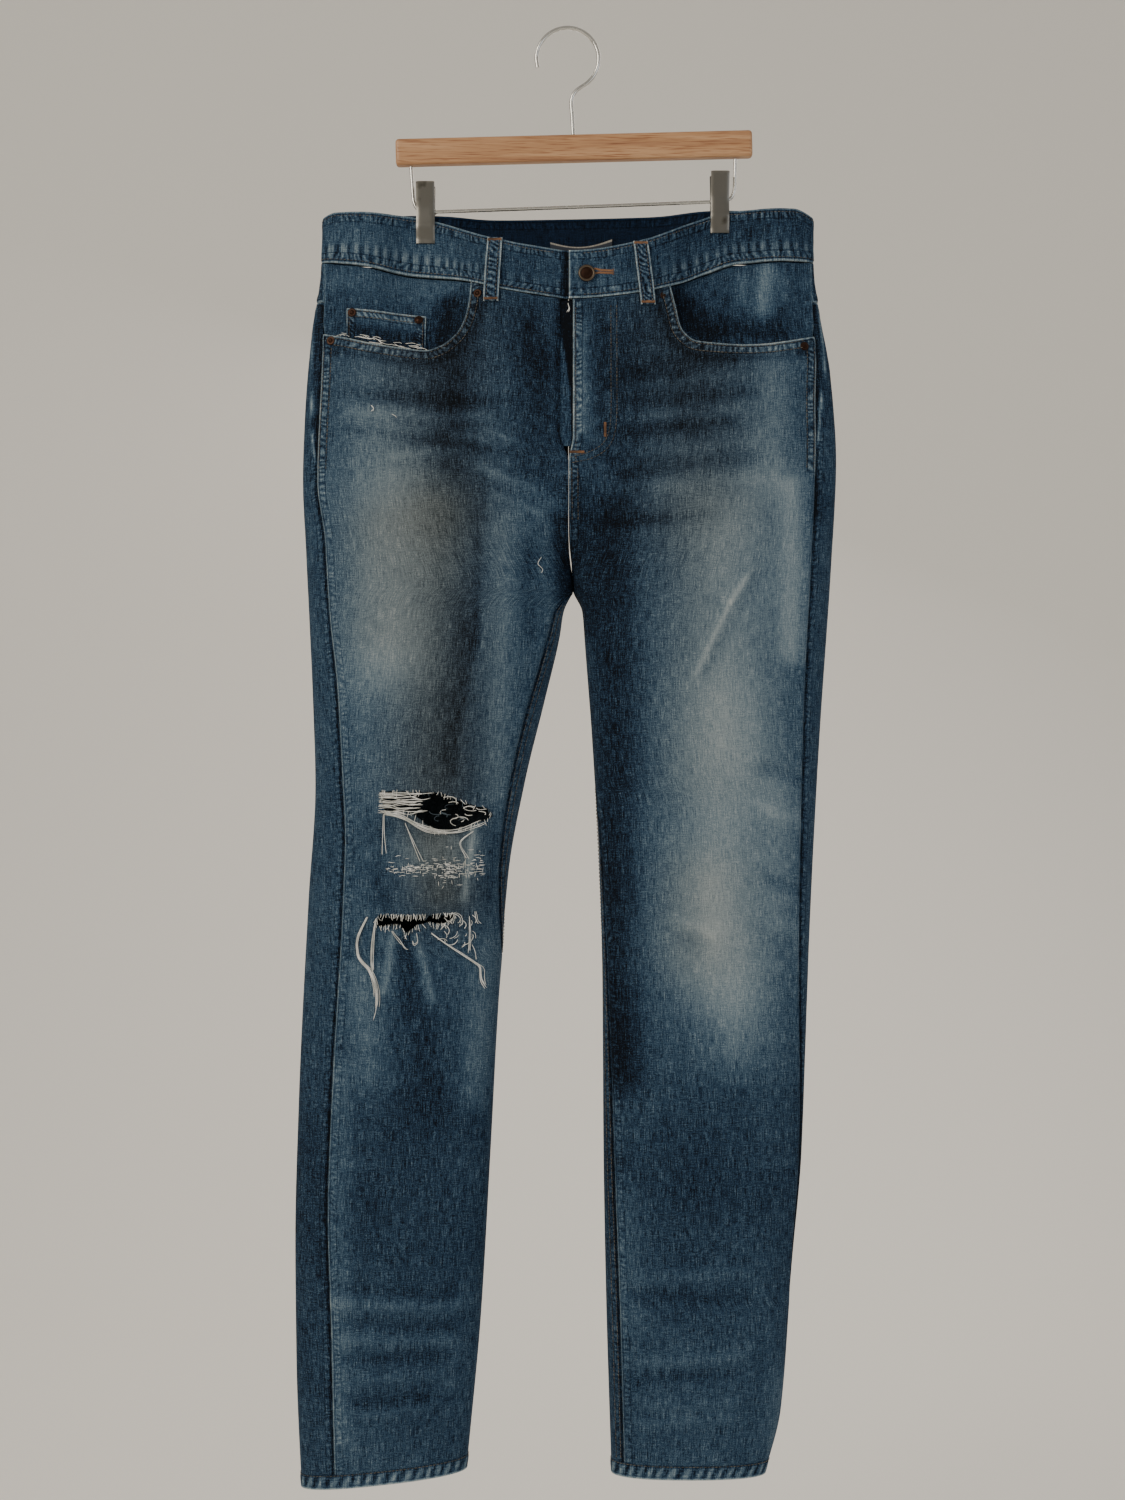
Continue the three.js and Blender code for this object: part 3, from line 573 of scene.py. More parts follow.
def material(name):
    made = bpy.data.materials.new(name)
    made.use_nodes = True
    return made, made.node_tree


def add(tree, kind, settings, inputs, output=0):
    """Adds a node with its settings and its inputs, each a value or another node's output."""
    node = tree.nodes.new("ShaderNode" + kind)
    for key, value in settings.items():
        setattr(node, key, value)
    for key, value in inputs.items():
        if isinstance(value, bpy.types.NodeSocket):
            tree.links.new(value, node.inputs[key])
        else:
            node.inputs[key].default_value = value
    return node.outputs[output]


def ramp(tree, value, stops):
    """Colour ramp through (place, colour) stops, each colour in hex or linear."""
    output = add(tree, "ValToRGB", {}, {0: value})
    band = output.node.color_ramp
    while len(band.elements) < len(stops):
        band.elements.new(0.5)
    for element, (place, colour) in zip(band.elements, stops):
        element.position = place
        element.color = linear(colour) if isinstance(colour, str) else colour
    return output


def grey_stops(*pairs):
    """Stops of a ramp that carries a plain number: (place, value) to (place, grey)."""
    return [(place, (value, value, value, 1)) for place, value in pairs]


def surface(tree, **inputs):
    """Sets the inputs of the material's own shader."""
    shader = tree.nodes["Principled BSDF"]
    for key, value in inputs.items():
        socket = shader.inputs[key.replace("_", " ")]
        if isinstance(value, bpy.types.NodeSocket):
            tree.links.new(value, socket)
        else:
            socket.default_value = value


def streaks(tree, place, across, along, detail=2.0):
    """Noise drawn out into streaks: across and along are its grain in mm on the place's X and Y."""
    spread = add(tree, "Mapping", {}, {0: place, 3: (1000 / across, 1000 / along, 1)})
    return add(tree, "TexNoise", {}, {"Vector": spread, "Scale": 1.0, "Detail": detail, "Roughness": 0.6})


SUM = {"operation": "ADD"}
TIMES_PLUS = {"operation": "MULTIPLY_ADD"}


def denim(name, stops, warp_share, weft_share):
    """Cotton twill, ring-spun and uneven, faded by washing. The warp's thick and thin yarns make
    upright streaks about 0.6 mm wide and 12 mm long, and the weft's make level ones. `tone` is how
    far the indigo has worn off, lowered where shade is painted in, and the grey tint is how grey the
    cloth is: grey wear, and the grey-green of painted shade. Dark cloth is livelier than pale cloth,
    where most of the indigo has gone. A sewn edge has a pale worn rim, dark stitch rows 2 and 8 mm in
    that are painted shade in the stitch grooves, and pale puckers about 5 mm apart between them:
    `edge` is the distance from it in mm, `run` the way along it and `rope` its strength."""
    made, tree = material(name)
    place = add(tree, "UVMap", {}, {})
    solid = add(tree, "TexCoord", {}, {}, "Object")
    read, grain = {}, {}
    for key in ("tone", "rope", "edge", "run", "grey_tint"):
        read[key] = add(tree, "Attribute", {"attribute_name": key}, {}, "Fac")
    for size, detail in ((0.8, 0.0), (2.4, 1.0), (16, 0.0), (60, 4.0)):
        grain[size] = add(tree, "TexNoise", {}, {"Vector": solid, "Scale": 1000 / size, "Detail": detail})
    warp = streaks(tree, place, 0.6, 12, 1.0)
    weft = streaks(tree, place, 9, 0.6, 1.0)
    slubs = streaks(tree, place, 5, 70)
    layers = [(warp, warp_share), (weft, weft_share), (grain[0.8], 0.52), (slubs, 0.2), (grain[60], 0.16)]
    total = 0.0
    for value, share in layers:
        layer = add(tree, "Math", TIMES_PLUS, {0: value, 1: share, 2: -share / 2})
        total = add(tree, "Math", SUM, {0: total, 1: layer})
    lively = add(tree, "Math", TIMES_PLUS, {0: read["tone"], 1: -1.1, 2: 1.15})
    total = add(tree, "Math", TIMES_PLUS, {0: total, 1: lively, 2: read["tone"]})

    inward = add(tree, "MapRange", {}, {0: read["edge"], 1: 0.0, 2: 12.0})
    # Across a sewn edge: a pale worn rim, then dark rows at 2 and 8 mm that are painted shade in the stitch
    # grooves.
    rim = ramp(tree, inward, grey_stops(
        (0.0, 1.0), (0.09, 0.85), (0.14, 0.36), (0.19, 0.12), (0.25, 0.44), (0.6, 0.44), (0.67, 0.12),
        (0.74, 0.4), (0.95, 0.4),
    ))
    window = ramp(tree, inward, grey_stops((0.17, 0.0), (0.27, 1.0), (0.6, 1.0), (0.68, 0.0)))
    turns = add(tree, "Math", TIMES_PLUS, {0: read["run"], 1: 1 / 5.2, 2: 0.0})
    turns = add(tree, "Math", TIMES_PLUS, {0: grain[16], 1: 3.4, 2: turns})
    angle = add(tree, "Math", TIMES_PLUS, {0: turns, 1: 2 * np.pi, 2: 0.0})
    pucker = add(tree, "Math", {"operation": "SINE"}, {0: angle})
    pucker = add(tree, "Math", TIMES_PLUS, {0: pucker, 1: 0.55, 2: -0.8})
    pucker = add(tree, "Math", TIMES_PLUS, {0: grain[2.4], 1: 1.6, 2: pucker})
    pucker = add(tree, "Math", TIMES_PLUS, {0: pucker, 1: window, 2: 0.0})
    sewn = add(tree, "Math", TIMES_PLUS, {0: rim, 1: 0.66, 2: -0.26})
    sewn = add(tree, "Math", TIMES_PLUS, {0: pucker, 1: 0.25, 2: sewn})
    sewn = add(tree, "Math", TIMES_PLUS, {0: sewn, 1: read["rope"], 2: 0.0})
    total = add(tree, "Math", SUM, {0: total, 1: sewn})
    blue = ramp(tree, total, stops)
    grey = ramp(tree, total, [(0.0, "#0c1012"), (0.3, "#363d40"), (0.6, "#6a7274"), (1.0, "#b6bab4")])
    colour = add(tree, "Mix", {"data_type": "RGBA"}, {0: read["grey_tint"], 6: blue, 7: grey}, 2)
    height = add(tree, "Math", SUM, {0: warp, 1: weft})
    height = add(tree, "Math", TIMES_PLUS, {0: sewn, 1: 5.0, 2: height})
    bump = add(tree, "Bump", {}, {"Strength": 0.6, "Distance": 0.0006, "Height": height})
    surface(tree, Base_Color=colour, Roughness=0.9, Normal=bump, Specular_IOR_Level=0.12)
    return made


BLUES = [
    (0.0, "#060a10"), (0.14, "#142234"), (0.28, "#263c52"), (0.42, "#44596a"), (0.58, "#6b7c86"),
    (0.76, "#949fa2"), (1.0, "#c8cdc9"),
]
INDIGO = denim("washed_indigo_twill", BLUES, 0.82, 0.5)
REVERSE_BLUES = [(0.0, "#10171d"), (0.5, "#4b5860"), (1.0, "#98a2a3")]
LINING_BLUES = [(0.0, "#05090f"), (0.4, "#13243a"), (0.8, "#2b455e"), (1.0, "#46607a")]
REVERSE = denim("reverse_of_indigo_twill", REVERSE_BLUES, 0.3, 0.4)
LINING = denim("unworn_indigo_twill", LINING_BLUES, 0.7, 0.5)
CLOTH = [INDIGO, REVERSE]


def yarn(name, dark, light):
    """Spun cotton thread: plies about 0.4 mm across make fine bands, and its dye has faded in patches."""
    made, tree = material(name)
    solid = add(tree, "TexCoord", {}, {}, "Object")
    patches = add(tree, "TexNoise", {}, {"Vector": solid, "Scale": 1000 / 9, "Detail": 2.0})
    plies = add(tree, "TexNoise", {}, {"Vector": solid, "Scale": 1000 / 0.7, "Detail": 1.0})
    colour = ramp(tree, patches, [(0.3, dark), (0.7, light)])
    bump = add(tree, "Bump", {}, {"Strength": 0.4, "Distance": 0.0002, "Height": plies})
    surface(tree, Base_Color=colour, Roughness=0.8, Normal=bump)
    return made


TAN_THREAD = yarn("faded_tan_thread", "#1c1f23", "#6f695d")
COPPER_THREAD = yarn("copper_bartack_thread", "#4e3625", "#8c6444")
WHITE_YARN = yarn("frayed_white_cotton", "#bfc0b8", "#f4f3ee")
BLUE_YARN = yarn("frayed_indigo_cotton", "#1b2832", "#56656f")

# ---------------------------------------------------------------- panels

RIPS = [
    [
        (-159, -660), (-113, -661), (-100, -665), (-80, -672), (-69, -675), (-64.5, -682), (-76, -687),
        (-91, -691.5), (-108, -694), (-118, -690), (-129, -681), (-140, -677.5), (-155, -677),
    ],
    [
        (-161, -765.5), (-128, -766), (-97, -765), (-105, -773), (-118, -772.5), (-128, -775),
        (-139, -782), (-143, -774.5), (-162, -775),
    ],
]
MOUTHS = {
    "r": [
        (-83, -224), (-86, -246), (-92, -263), (-102, -274.5), (-113, -281), (-126, -283),
        (-164, -277), (-190, -271), (-214, -266),
    ],
    "l": [
        (87, -224), (92, -246), (96, -263), (103, -272.5), (112, -277), (135, -278),
        (166, -277), (190, -273.5), (216, -268),
    ],
}
MOUTH_LINES = {key: spline(points, 90) for key, points in MOUTHS.items()}

# Tone of the front, in strokes whose amounts are added to the tone: worn fades, light and dark whisker
# strokes, and painted shade where marked.
TONE_FRONT = [
    (-168, -290, -168, -350, 26, 0.13),
    (-152, -404, -146, -540, 44, 0.24),
    (-170, -540, -168, -640, 34, 0.07),
    # Painted shade: the shadow down the right thigh beside its long fold, and the fold's sharp edge, drawn
    # by the one-sided strokes.
    (-97, -250, -99, -380, 20, -0.17),
    (-92, -500, -98, -650, 17, -0.10),
    (-69, -400, -75, -527, 16, -0.10, -1),
    (-75, -527, -96, -632, 16, -0.12, -1),
    (-54, -430, -62, -660, 12, 0.12),
    (-32, -260, -34, -390, 15, -0.13),
    (-20, -290, -12, -400, 10, -0.10),
    (-6, -430, -2, -500, 8, -0.20),
    (-186, -318, -50, -328, 6, -0.09),
    (-190, -350, -134, -358, 4, -0.08),
    (-190, -335, -70, -343, 5, 0.08),
    (-130, -360, -40, -372, 5, -0.09),
    (-70, -352, -36, -366, 2.5, 0.10),
    (-150, -374, -90, -368, 4, 0.09),
    (-76, -385, -28, -402, 3, 0.08),
    (-62, -408, -24, -424, 3, 0.07),
    (-150, -712, -86, -708, 18, 0.12),
    (-80, -690, -88, -752, 3, 0.25),
    (-66, -700, -72, -752, 9, -0.06),
    (-158, -700, -158, -752, 12, -0.10),
    (-176, -820, -168, -900, 16, 0.12),
    (-134, -800, -116, -930, 22, -0.10),
    (-70, -800, -80, -920, 14, 0.12),
    (-196, -900, -196, -1220, 12, 0.12),
    (-130, -1140, -110, -1230, 20, -0.05),
    (-148, -782, -156, -830, 4, 0.12),
    (-128, -787, -115, -838, 4, 0.12),
    (50, -285, 50, -400, 24, -0.13),
    (100, -270, 108, -345, 22, -0.09),
    (36, -430, 42, -650, 24, -0.22),
    (40, -690, 42, -900, 20, -0.25),
    (6, -400, 12, -520, 14, -0.16),
    (176, -285, 172, -390, 22, 0.18),
    (140, -436, 134, -566, 46, 0.25),
    (192, -400, 190, -540, 13, 0.22),
    (134, -634, 128, -800, 50, 0.30),
    (118, -740, 126, -782, 20, 0.07),
    (182, -660, 182, -760, 16, 0.08),
    (144, -850, 146, -872, 34, 0.18),
    (46, -1010, 52, -1110, 16, 0.09),
    (184, -1170, 176, -1225, 12, 0.10),
    (152, -478, 138, -500, 1.8, 0.13),
    (138, -500, 108, -560, 1.8, 0.11),
    (50, -300, 140, -290, 5, -0.07),
    (50, -314, 150, -305, 4, 0.07),
    (48, -328, 160, -320, 5, -0.06),
    (50, -342, 150, -334, 5, 0.07),
    (48, -358, 140, -346, 5, -0.06),
    (50, -374, 160, -362, 5, 0.06),
    (46, -390, 160, -375, 6, -0.07),
    (58, -406, 165, -394, 5, 0.05),
    (46, -431, 124, -426, 8, -0.07),
    (12, -262, 12, -350, 5, 0.16),
    (28, -250, 29, -350, 5, -0.08),
    (18, -368, 30, -372, 8, -0.08),
]
TONE_LOW = curve(
    (-1262, 0.28), (-1180, 0.27), (-1100, 0.25), (-1000, 0.21), (-900, 0.26), (-800, 0.31), (-600, 0.32),
    (-420, 0.31), (-330, 0.28), (-270, 0.23), (-203, 0.22),
)


def tone_front(x, z):
    """The front's tone: a level for each height, the strokes, and lighter on crease ridges, where they wear,
    and darker in their troughs, which is painted shade.
    """
    return TONE_LOW(z) + marks(x, z, TONE_FRONT) + 0.055 * marks(x, z, CREASES_FRONT)


TONE_BACK = [
    (-120, -330, -110, -420, 50, 0.12),
    (122, -330, 112, -420, 50, 0.12),
    (-130, -440, -130, -640, 40, 0.10),
    (120, -440, 116, -640, 40, 0.10),
    (-180, -710, -90, -722, 5, 0.12),
    (72, -712, 170, -704, 5, 0.12),
    (-178, -734, -90, -738, 5, 0.10),
    (72, -732, 168, -728, 5, 0.10),
    (-60, -480, -30, -560, 16, -0.06),
    # Painted shadow: the next two strokes darken the back panel beside each side seam at the hip.
    (-207, -350, -208, -415, 7, -0.2),
    (212, -390, 212, -420, 7, -0.12),
    (50, -480, 26, -560, 16, -0.06),
]


def tone_back(x, z):
    # The back's tone: a little below the front's level, the strokes, and lighter on crease ridges, where
    # they wear, and darker in their troughs, which is painted shade.
    return TONE_LOW(z) - 0.04 + marks(x, z, TONE_BACK) + 0.06 * marks(x, z, CREASES_BACK)


def strip_grid(side, z, start, end, near, columns):
    """Points between two angles at each height. Columns lie at the near distances from both ends and
    evenly between, measured along the cloth. Returns the points, each one's distance from the start
    and each row's length."""
    t = np.linspace(0, 1, FINE)[None]
    fine = form(side, mix(start, end, t), z)
    steps = np.linalg.norm(np.diff(fine, axis=1), axis=2)
    reach = np.concatenate([np.zeros((len(fine), 1)), np.cumsum(steps, axis=1)], axis=1)
    length = reach[:, -1:]
    near = np.array(near)
    middle = np.linspace(0, 1, columns - 2 * len(near) + 2)[None, 1:-1]
    at = np.concatenate([
        np.broadcast_to(near, (len(fine), len(near))),
        mix(near[-1], length - near[-1], middle),
        length - near[::-1],
    ], axis=1)
    points = np.stack([
        np.stack([np.interp(row, span, place[:, k]) for k in range(3)], -1)
        for row, span, place in zip(at, reach, fine)
    ])
    return points, at, length


def panel_grid(side, front, heights, columns, bent=None):
    """A panel's points: each row runs from seam to seam at its height, with columns close together
    near both edges. bent gives a row's height at a place across."""
    z = np.asarray(heights, float)[:, None]
    start, end = panel_angles(side, z, front)
    if bent:
        level = bent(z, CENTRE)
        x = form(side, mix(*panel_angles(side, level, front), np.linspace(0, 1, FINE)[None]), level)[..., 0]
        z = bent(z, x)
        start, end = panel_angles(side, z, front)
    points, at, length = strip_grid(side, z, start, end, (0, 0.5, 1.1, 1.9, 3.0, 4.6), columns)
    if (side.sign < 0) != front:
        points, at = points[:, ::-1], at[:, ::-1]
    return points, at, length


def cloth_uv(at, length, heights):
    """Metres across from the middle of the cloth, and down it. Each row's length is taken as its mean
    over 60 mm about it, so that a fold doesn't bend the weave."""
    heights = np.asarray(heights, float)[:, None]
    near = bell(heights - heights.T, 60)
    even = near @ length / near.sum(1, keepdims=True)
    return np.stack(np.broadcast_arrays((at / length - 0.5) * even * MM, heights * MM), -1)


def seam_relief(distance):
    """A sewn edge: it rolls under at the seam itself, and stands up over the turned-in cloth."""
    return -0.85 * bell(distance, 0.8) + 0.55 * bell(distance - 4.2, 3.6)


def near_line(points, line):
    """Distance from each point to an open line of [across, height], and how far along it that is."""
    here = points[..., [0, 2]]
    way = np.diff(line, axis=0)
    reach = np.concatenate([[0], np.cumsum(np.linalg.norm(way, axis=1))])
    best, along = np.full(here.shape[:-1], 1e9), np.zeros(here.shape[:-1])
    for k, step in enumerate(way):
        t = np.clip(((here - line[k]) @ step) / (step @ step), 0, 1)
        gap = np.linalg.norm(here - line[k] - t[..., None] * step, axis=-1)
        along = np.where(gap < best, reach[k] + t * (reach[k + 1] - reach[k]), along)
        best = np.minimum(gap, best)
    return best, along


def worn(tone, rope, edge, run, grey_tint=0.0):
    """The values that the denim reads at every point."""
    values = {"tone": tone, "rope": rope, "edge": edge, "run": run, "grey_tint": grey_tint}
    return {key: value + 0 * tone for key, value in values.items()}


LEG_TOP, LEG_END = BAND_SEAM - BAND_GAP, HEM + HEM_HEIGHT + GAP
ROWS_FRONT = [  # from, to and spacing, closer at the two rips
    (LEG_TOP, -655, 2.7),
    (-655, -700, 1.4),
    (-700, -758, 2.4),
    (-758, -788, 1.4),
    (-788, LEG_END, 2.9),
]


def make_leg_front(key):
    """From the waistband to the hem, with the pocket's mouth and the rips cut out."""
    side = SIDES[key]
    zones = [np.linspace(a, b, round((a - b) / step), endpoint=False) for a, b, step in ROWS_FRONT]
    heights = np.concatenate([*zones, [LEG_END]])
    points, at, length = panel_grid(side, True, heights, 104)
    seam = np.minimum(at, length - at)
    line = MOUTH_LINES[key]
    outer = side.sign * 245  # clear of the leg
    mouth = np.vstack([line, [(outer, -262), (outer, -150), (line[0][0], -150)]])
    outlines = [mouth]
    if key == "r":
        outlines += [ragged(outline) for outline in RIPS]
    keep, points = cut(points, outlines)
    x, z = points[..., 0], points[..., 2]
    mouth_gap, along = near_line(points, line)
    centre = length - at if key == "r" else at
    gape = (bell(x - 112, 26) * 5.0 if key == "l" else bell(x + 130, 40) * 1.2) * bell(mouth_gap, 16)
    hemmed = 0.5 * bell(mouth_gap - 5, 4.5) - 0.5 * bell(mouth_gap, 0.8) - 0.35 * bell(mouth_gap - 9.5, 1.2)
    fly = ease(z, -390, -384)
    # Where the right front's edge bends in under the fly, its tone is lowered as painted shade under the
    # left front's overlap.
    under = ease(z, -388, -360) * bell(centre, 3.5) * (key == "r")
    out = seam_relief(seam) * (1 - under) - 0.9 * under + gape + hemmed
    tone = tone_front(x, z) - 0.16 * under - 0.12 * bell(mouth_gap - 12, 3.5)
    below = ease(-z, 395, 420)
    rope = np.where(centre < 14, mix(1.0 if key == "l" else 0.0, 0.18, 1 - fly), mix(0.95, 0.5, below))
    at_mouth = mouth_gap < seam
    rope, run = np.where(at_mouth, 1, rope), np.where(at_mouth, along, z)
    values = worn(tone, rope, np.minimum(seam, mouth_gap), run, np.clip(marks(x, z, GREY_WEAR_AND_SHADE_FRONT), 0, 1))
    return wall(f"leg_front_{key}", points, out, DENIM, CLOTH, cloth_uv(at, length, heights), values, keep)


def ragged(outline):
    """A torn outline: many points along it, each shifted a little by its own chance."""
    fine = spline(outline + outline[:1], 110)[:-1]
    return fine + CHANCE.normal(0, 0.35, fine.shape)


# Grey tint of the front: grey wear by the rips, on the worn thighs and at the hips, and the grey-green of
# painted shade in the shadow down the right thigh (the first stroke).
GREY_WEAR_AND_SHADE_FRONT = [
    (-112, -430, -112, -640, 40, 0.7),
    (-112, -700, -106, -745, 30, 0.85),
    (-160, -440, -160, -520, 30, 0.35),
    (112, -430, 118, -640, 44, 0.3),
    (116, -740, 116, -790, 36, 0.45),
    (-120, -270, -120, -400, 60, 0.4),
    (110, -270, 116, -400, 60, 0.35),
]


# Width of the side seam's opened allowance below the pocket, which shows as a second line behind it.
PARTED = {
    "r": curve((-384, 0), (-349, 5.8), (-316, 9), (-283, 10.7), (-262, 10)),
    "l": curve((-370, 0), (-351, 2), (-323, 4.6), (-283, 8.5), (-262, 8)),
}


LEVEL = -302  # the back's rows are level from here down


def make_leg_back(key):
    """From the yoke seam to the hem: the rows bend from the seam's slope until they are level."""
    side = SIDES[key]
    heights = np.concatenate([np.linspace(YOKE_CENTRE, LEVEL, 11)[:-1], np.linspace(LEVEL, LEG_END, 265)])

    def bent(z, x):
        share = np.clip((z - LEVEL) / (YOKE_CENTRE - LEVEL), 0, 1)
        return np.where(z > LEVEL, mix(LEVEL, yoke_seam(x) - GAP, share), z)

    points, at, length = panel_grid(side, False, heights, 84, bent)
    x, z = points[..., 0], points[..., 2]
    seam = np.minimum(at, length - at)
    under_yoke = yoke_seam(x) - z
    parted = PARTED[key](z)
    between = ease(at, 0, 0.8) * (1 - ease(at, parted - 1.2, parted)) * ease(parted, 0.2, 1.5)
    line = bell(at - parted, 0.9) * ease(parted, 0.2, 1.5)
    out = seam_relief(seam) + 0.5 * bell(under_yoke - 4, 3) - 0.6 * bell(under_yoke, 0.8)
    out = out - 0.9 * between + 0.3 * line
    # The dark line 1.2 mm in from each seam is painted shade in the seam's groove.
    tone = tone_back(x, z) - 0.08 * between + 0.45 * line - 0.2 * bell(seam - 1.2, 1.2)
    rope = np.where(under_yoke < seam, 0.8, 0.45 * (1 - between))
    edge = np.minimum(seam + 1.5, np.maximum(under_yoke, 0))
    values = worn(tone, rope, edge, np.where(under_yoke < seam, x, z))
    return wall(f"leg_back_{key}", points, out, DENIM, CLOTH, cloth_uv(at, length, heights), values)


YOKE_SIDE, YOKE_CENTRE, YOKE_HALF = -238, -268, 213


def yoke_seam(x):
    """Height of the yoke seam: straight from the centre up to each side."""
    return mix(YOKE_CENTRE, YOKE_SIDE, np.minimum(1, np.abs(x - CENTRE) / YOKE_HALF))


def make_yoke(key):
    """From the waistband to the yoke seam, its rows bending from level to the seam's slope."""
    side = SIDES[key]
    heights = np.linspace(LEG_TOP, YOKE_CENTRE, 22)

    def bent(z, x):
        return mix(LEG_TOP, yoke_seam(x), (z - LEG_TOP) / (YOKE_CENTRE - LEG_TOP))

    points, at, length = panel_grid(side, False, heights, 84, bent)
    x, z = points[..., 0], points[..., 2]
    edge = np.minimum(at, length - at)
    low = z - yoke_seam(x)
    out = seam_relief(edge) + 0.5 * bell(low - 4, 3) - 0.6 * bell(low, 0.8)
    rope, run = np.where(low < edge, 0.9, 0.5), np.where(low < edge, x, z)
    values = worn(tone_back(x, z), rope, np.minimum(edge, np.maximum(low, 0)), run)
    return wall(f"yoke_{key}", points, out, DENIM, CLOTH, cloth_uv(at, length, heights), values)


HEM_ROUND, ROPE_PITCH = 310, 9.2


def make_hem(key):
    """The turned-up hem: a ring whose cloth has roped into slanting ridges about 9 mm apart."""
    side = SIDES[key]
    rows = 11
    z = np.linspace(HEM + HEM_HEIGHT, HEM, rows)[:, None]
    angle = -side.sign * (np.linspace(0, 2 * np.pi, 900) - np.pi)[None]
    fine = form(side, angle, z)
    around = 250
    points = np.stack([resample(row, around + 1)[:-1] for row in fine])
    v = np.linspace(0, 1, rows)[:, None]
    s = np.linspace(0, 1, around, endpoint=False)[None] * HEM_ROUND
    wander = 2.4 * np.sin(s / 23) + 1.7 * np.sin(s / 9.3 + 2)
    ropes = np.sin(2 * np.pi * (s + wander) / ROPE_PITCH + 2.6 * v)
    belly = np.sin(np.pi * np.clip(v, 0, 1)) ** 0.7
    out = HEM_OUT * ease(v, 0, 0.25) + 0.32 * ropes * belly - 0.3 * bell(v, 0.07)
    tone = TONE_LOW(points[..., 2]) + 0.22 * ropes * belly
    tone = tone + 0.3 * bell(v - 1, 0.1) + 0.05 - 0.2 * bell(v - 0.06, 0.08)
    uv = np.stack(np.broadcast_arrays(s * MM, z * MM), -1)
    values = worn(tone, 0.35, HEM_HEIGHT * (1 - v), s)
    return wall(f"hem_{key}", points, out, HEM_IN + HEM_OUT, CLOTH, uv, values, ring=True)


BAND_HEIGHT = 41
WEAR_BAND = [
    (90, -176, 200, -172, 18, -0.06),
    (5, -204, 40, -232, 14, 0.06),
    (-190, -186, -120, -192, 20, 0.08),
]


def make_waistband():
    """One strip: from the end under the button, round by the right side, the back and the left side,
    to the end over it. Its edges follow the waist line and the sewn line."""
    def columns(side, angle, deeper):
        v = np.linspace(0, 1, 15)[:, None]
        z = mix(WAIST, BAND_SEAM, v)
        point = form(side, angle[None], z)
        x = point[..., 0]
        over = (angle > 0)[None]
        top = np.where(over, TOP_FRONT(x), TOP_BACK(x))
        low = np.where(over, SEAM_FRONT(x), BAND_SEAM)
        return np.stack([x, point[..., 1] + deeper, mix(top, low, v)], -1)

    under = np.linspace(27, -3, 16)
    lap = BAND_IN + BAND_OUT + GAP
    right = np.linspace(np.pi / 2, -np.pi / 2, 500)
    strips = [
        columns(LEFT, angle_at(LEFT, under[under > CENTRE], WAIST, True), lap),
        columns(RIGHT, angle_at(RIGHT, under[under <= CENTRE], WAIST, True), lap),
        columns(RIGHT, right[24:], 0),
        columns(LEFT, right[::-1], 0),
    ]
    fine = np.concatenate(strips, axis=1)[:, ::-1]
    count = 480
    points = np.stack([resample(row, count) for row in fine])
    steps = np.linalg.norm(np.diff(points[7], axis=0), axis=1)
    s = np.concatenate([[0], np.cumsum(steps)])[None]
    v = np.linspace(0, 1, 15)[:, None]
    end = np.minimum(s, s[0, -1] - s)
    rim = BAND_HEIGHT * np.minimum(v, 1 - v)
    x, y, z = np.moveaxis(points, -1, 0)
    low = BAND_HEIGHT * (1 - v)
    phase = s / 9.3 + 0.35 * np.sin(s / 31) + 0.22 * np.sin(s / 13 + 1)
    block = ease(np.sin(2 * np.pi * phase), -0.35, 0.35)
    drawn = bell(low - 11, 5) * mix(0.35, 1.0, ease(np.abs(x), 50, 115))
    front = y < 0
    shaded = front * (x < CENTRE) * bell(x + 1, 4.5)
    out = BAND_OUT - 0.5 * bell(rim, 1.0) - 0.4 * bell(end, 1.2) + 0.25 * bell(rim - 6, 4)
    out = out + 0.45 * (block - 0.4) * drawn
    tone = 0.24 + 0.45 * bell(end, 1.2) + 0.14 * bell(end - 6.5, 1)
    tone = tone + (0.3 * block - 0.08) * drawn - 0.3 * shaded + marks(x, z, WEAR_BAND) * front
    uv = np.stack(np.broadcast_arrays(s * MM, v * BAND_HEIGHT * MM), -1)
    values = worn(tone, mix(0.7, 0.9, v), rim, s, 0.2 * drawn * block)
    return wall("waistband", points, out, BAND_IN + BAND_OUT, [INDIGO, LINING], uv, values)


def patch(name, front, place, shape, thick, out, tone, rope=0.0, edge=20.0, finishes=CLOTH):
    """Wall over part of the front or back: place gives [across, height] for u to the right seen from
    outside and v down, both from 0 to 1. out, tone, rope and edge may follow u and v."""
    rows, columns = shape
    v, u = np.meshgrid(np.linspace(0, 1, rows), np.linspace(0, 1, columns), indexing="ij")
    x, height = place(u, v)
    points = face(x, height, front)
    value = lambda given: np.broadcast_to(given(u, v, x, height) if callable(given) else given, u.shape)
    uv = np.stack([x * MM, height * MM], -1)
    values = worn(value(tone), value(rope), value(edge), x + height)
    return wall(name, points, value(out), thick, finishes, uv, values)


def rim_of(width, height):
    """Function giving the distance in mm from a patch's nearest edge."""
    return lambda u, v: np.minimum(np.minimum(u, 1 - u) * width, np.minimum(v, 1 - v) * height)


# Tone strokes on the pocket facings: pale worn streaks near their tops, and darker strokes by each mouth
# that are painted shade in the pocket's hollow.
FACING_WEAR_AND_SHADE = {
    "r": [
        (-196, -216, -100, -226, 12, 0.10),
        (-170, -240, -110, -236, 12, 0.04),
        (-100, -240, -106, -272, 13, -0.26),
    ],
    "l": [
        (170, -212, 168, -244, 9, 0.24),
        (150, -214, 150, -236, 5, 0.12),
        (184, -214, 190, -250, 6, 0.06),
        (92, -240, 120, -266, 16, -0.3),
        (184, -250, 186, -266, 8, -0.1),
        (140, -262, 176, -266, 10, -0.12),
    ],
}


FACING_END = {"r": -72, "l": 76}


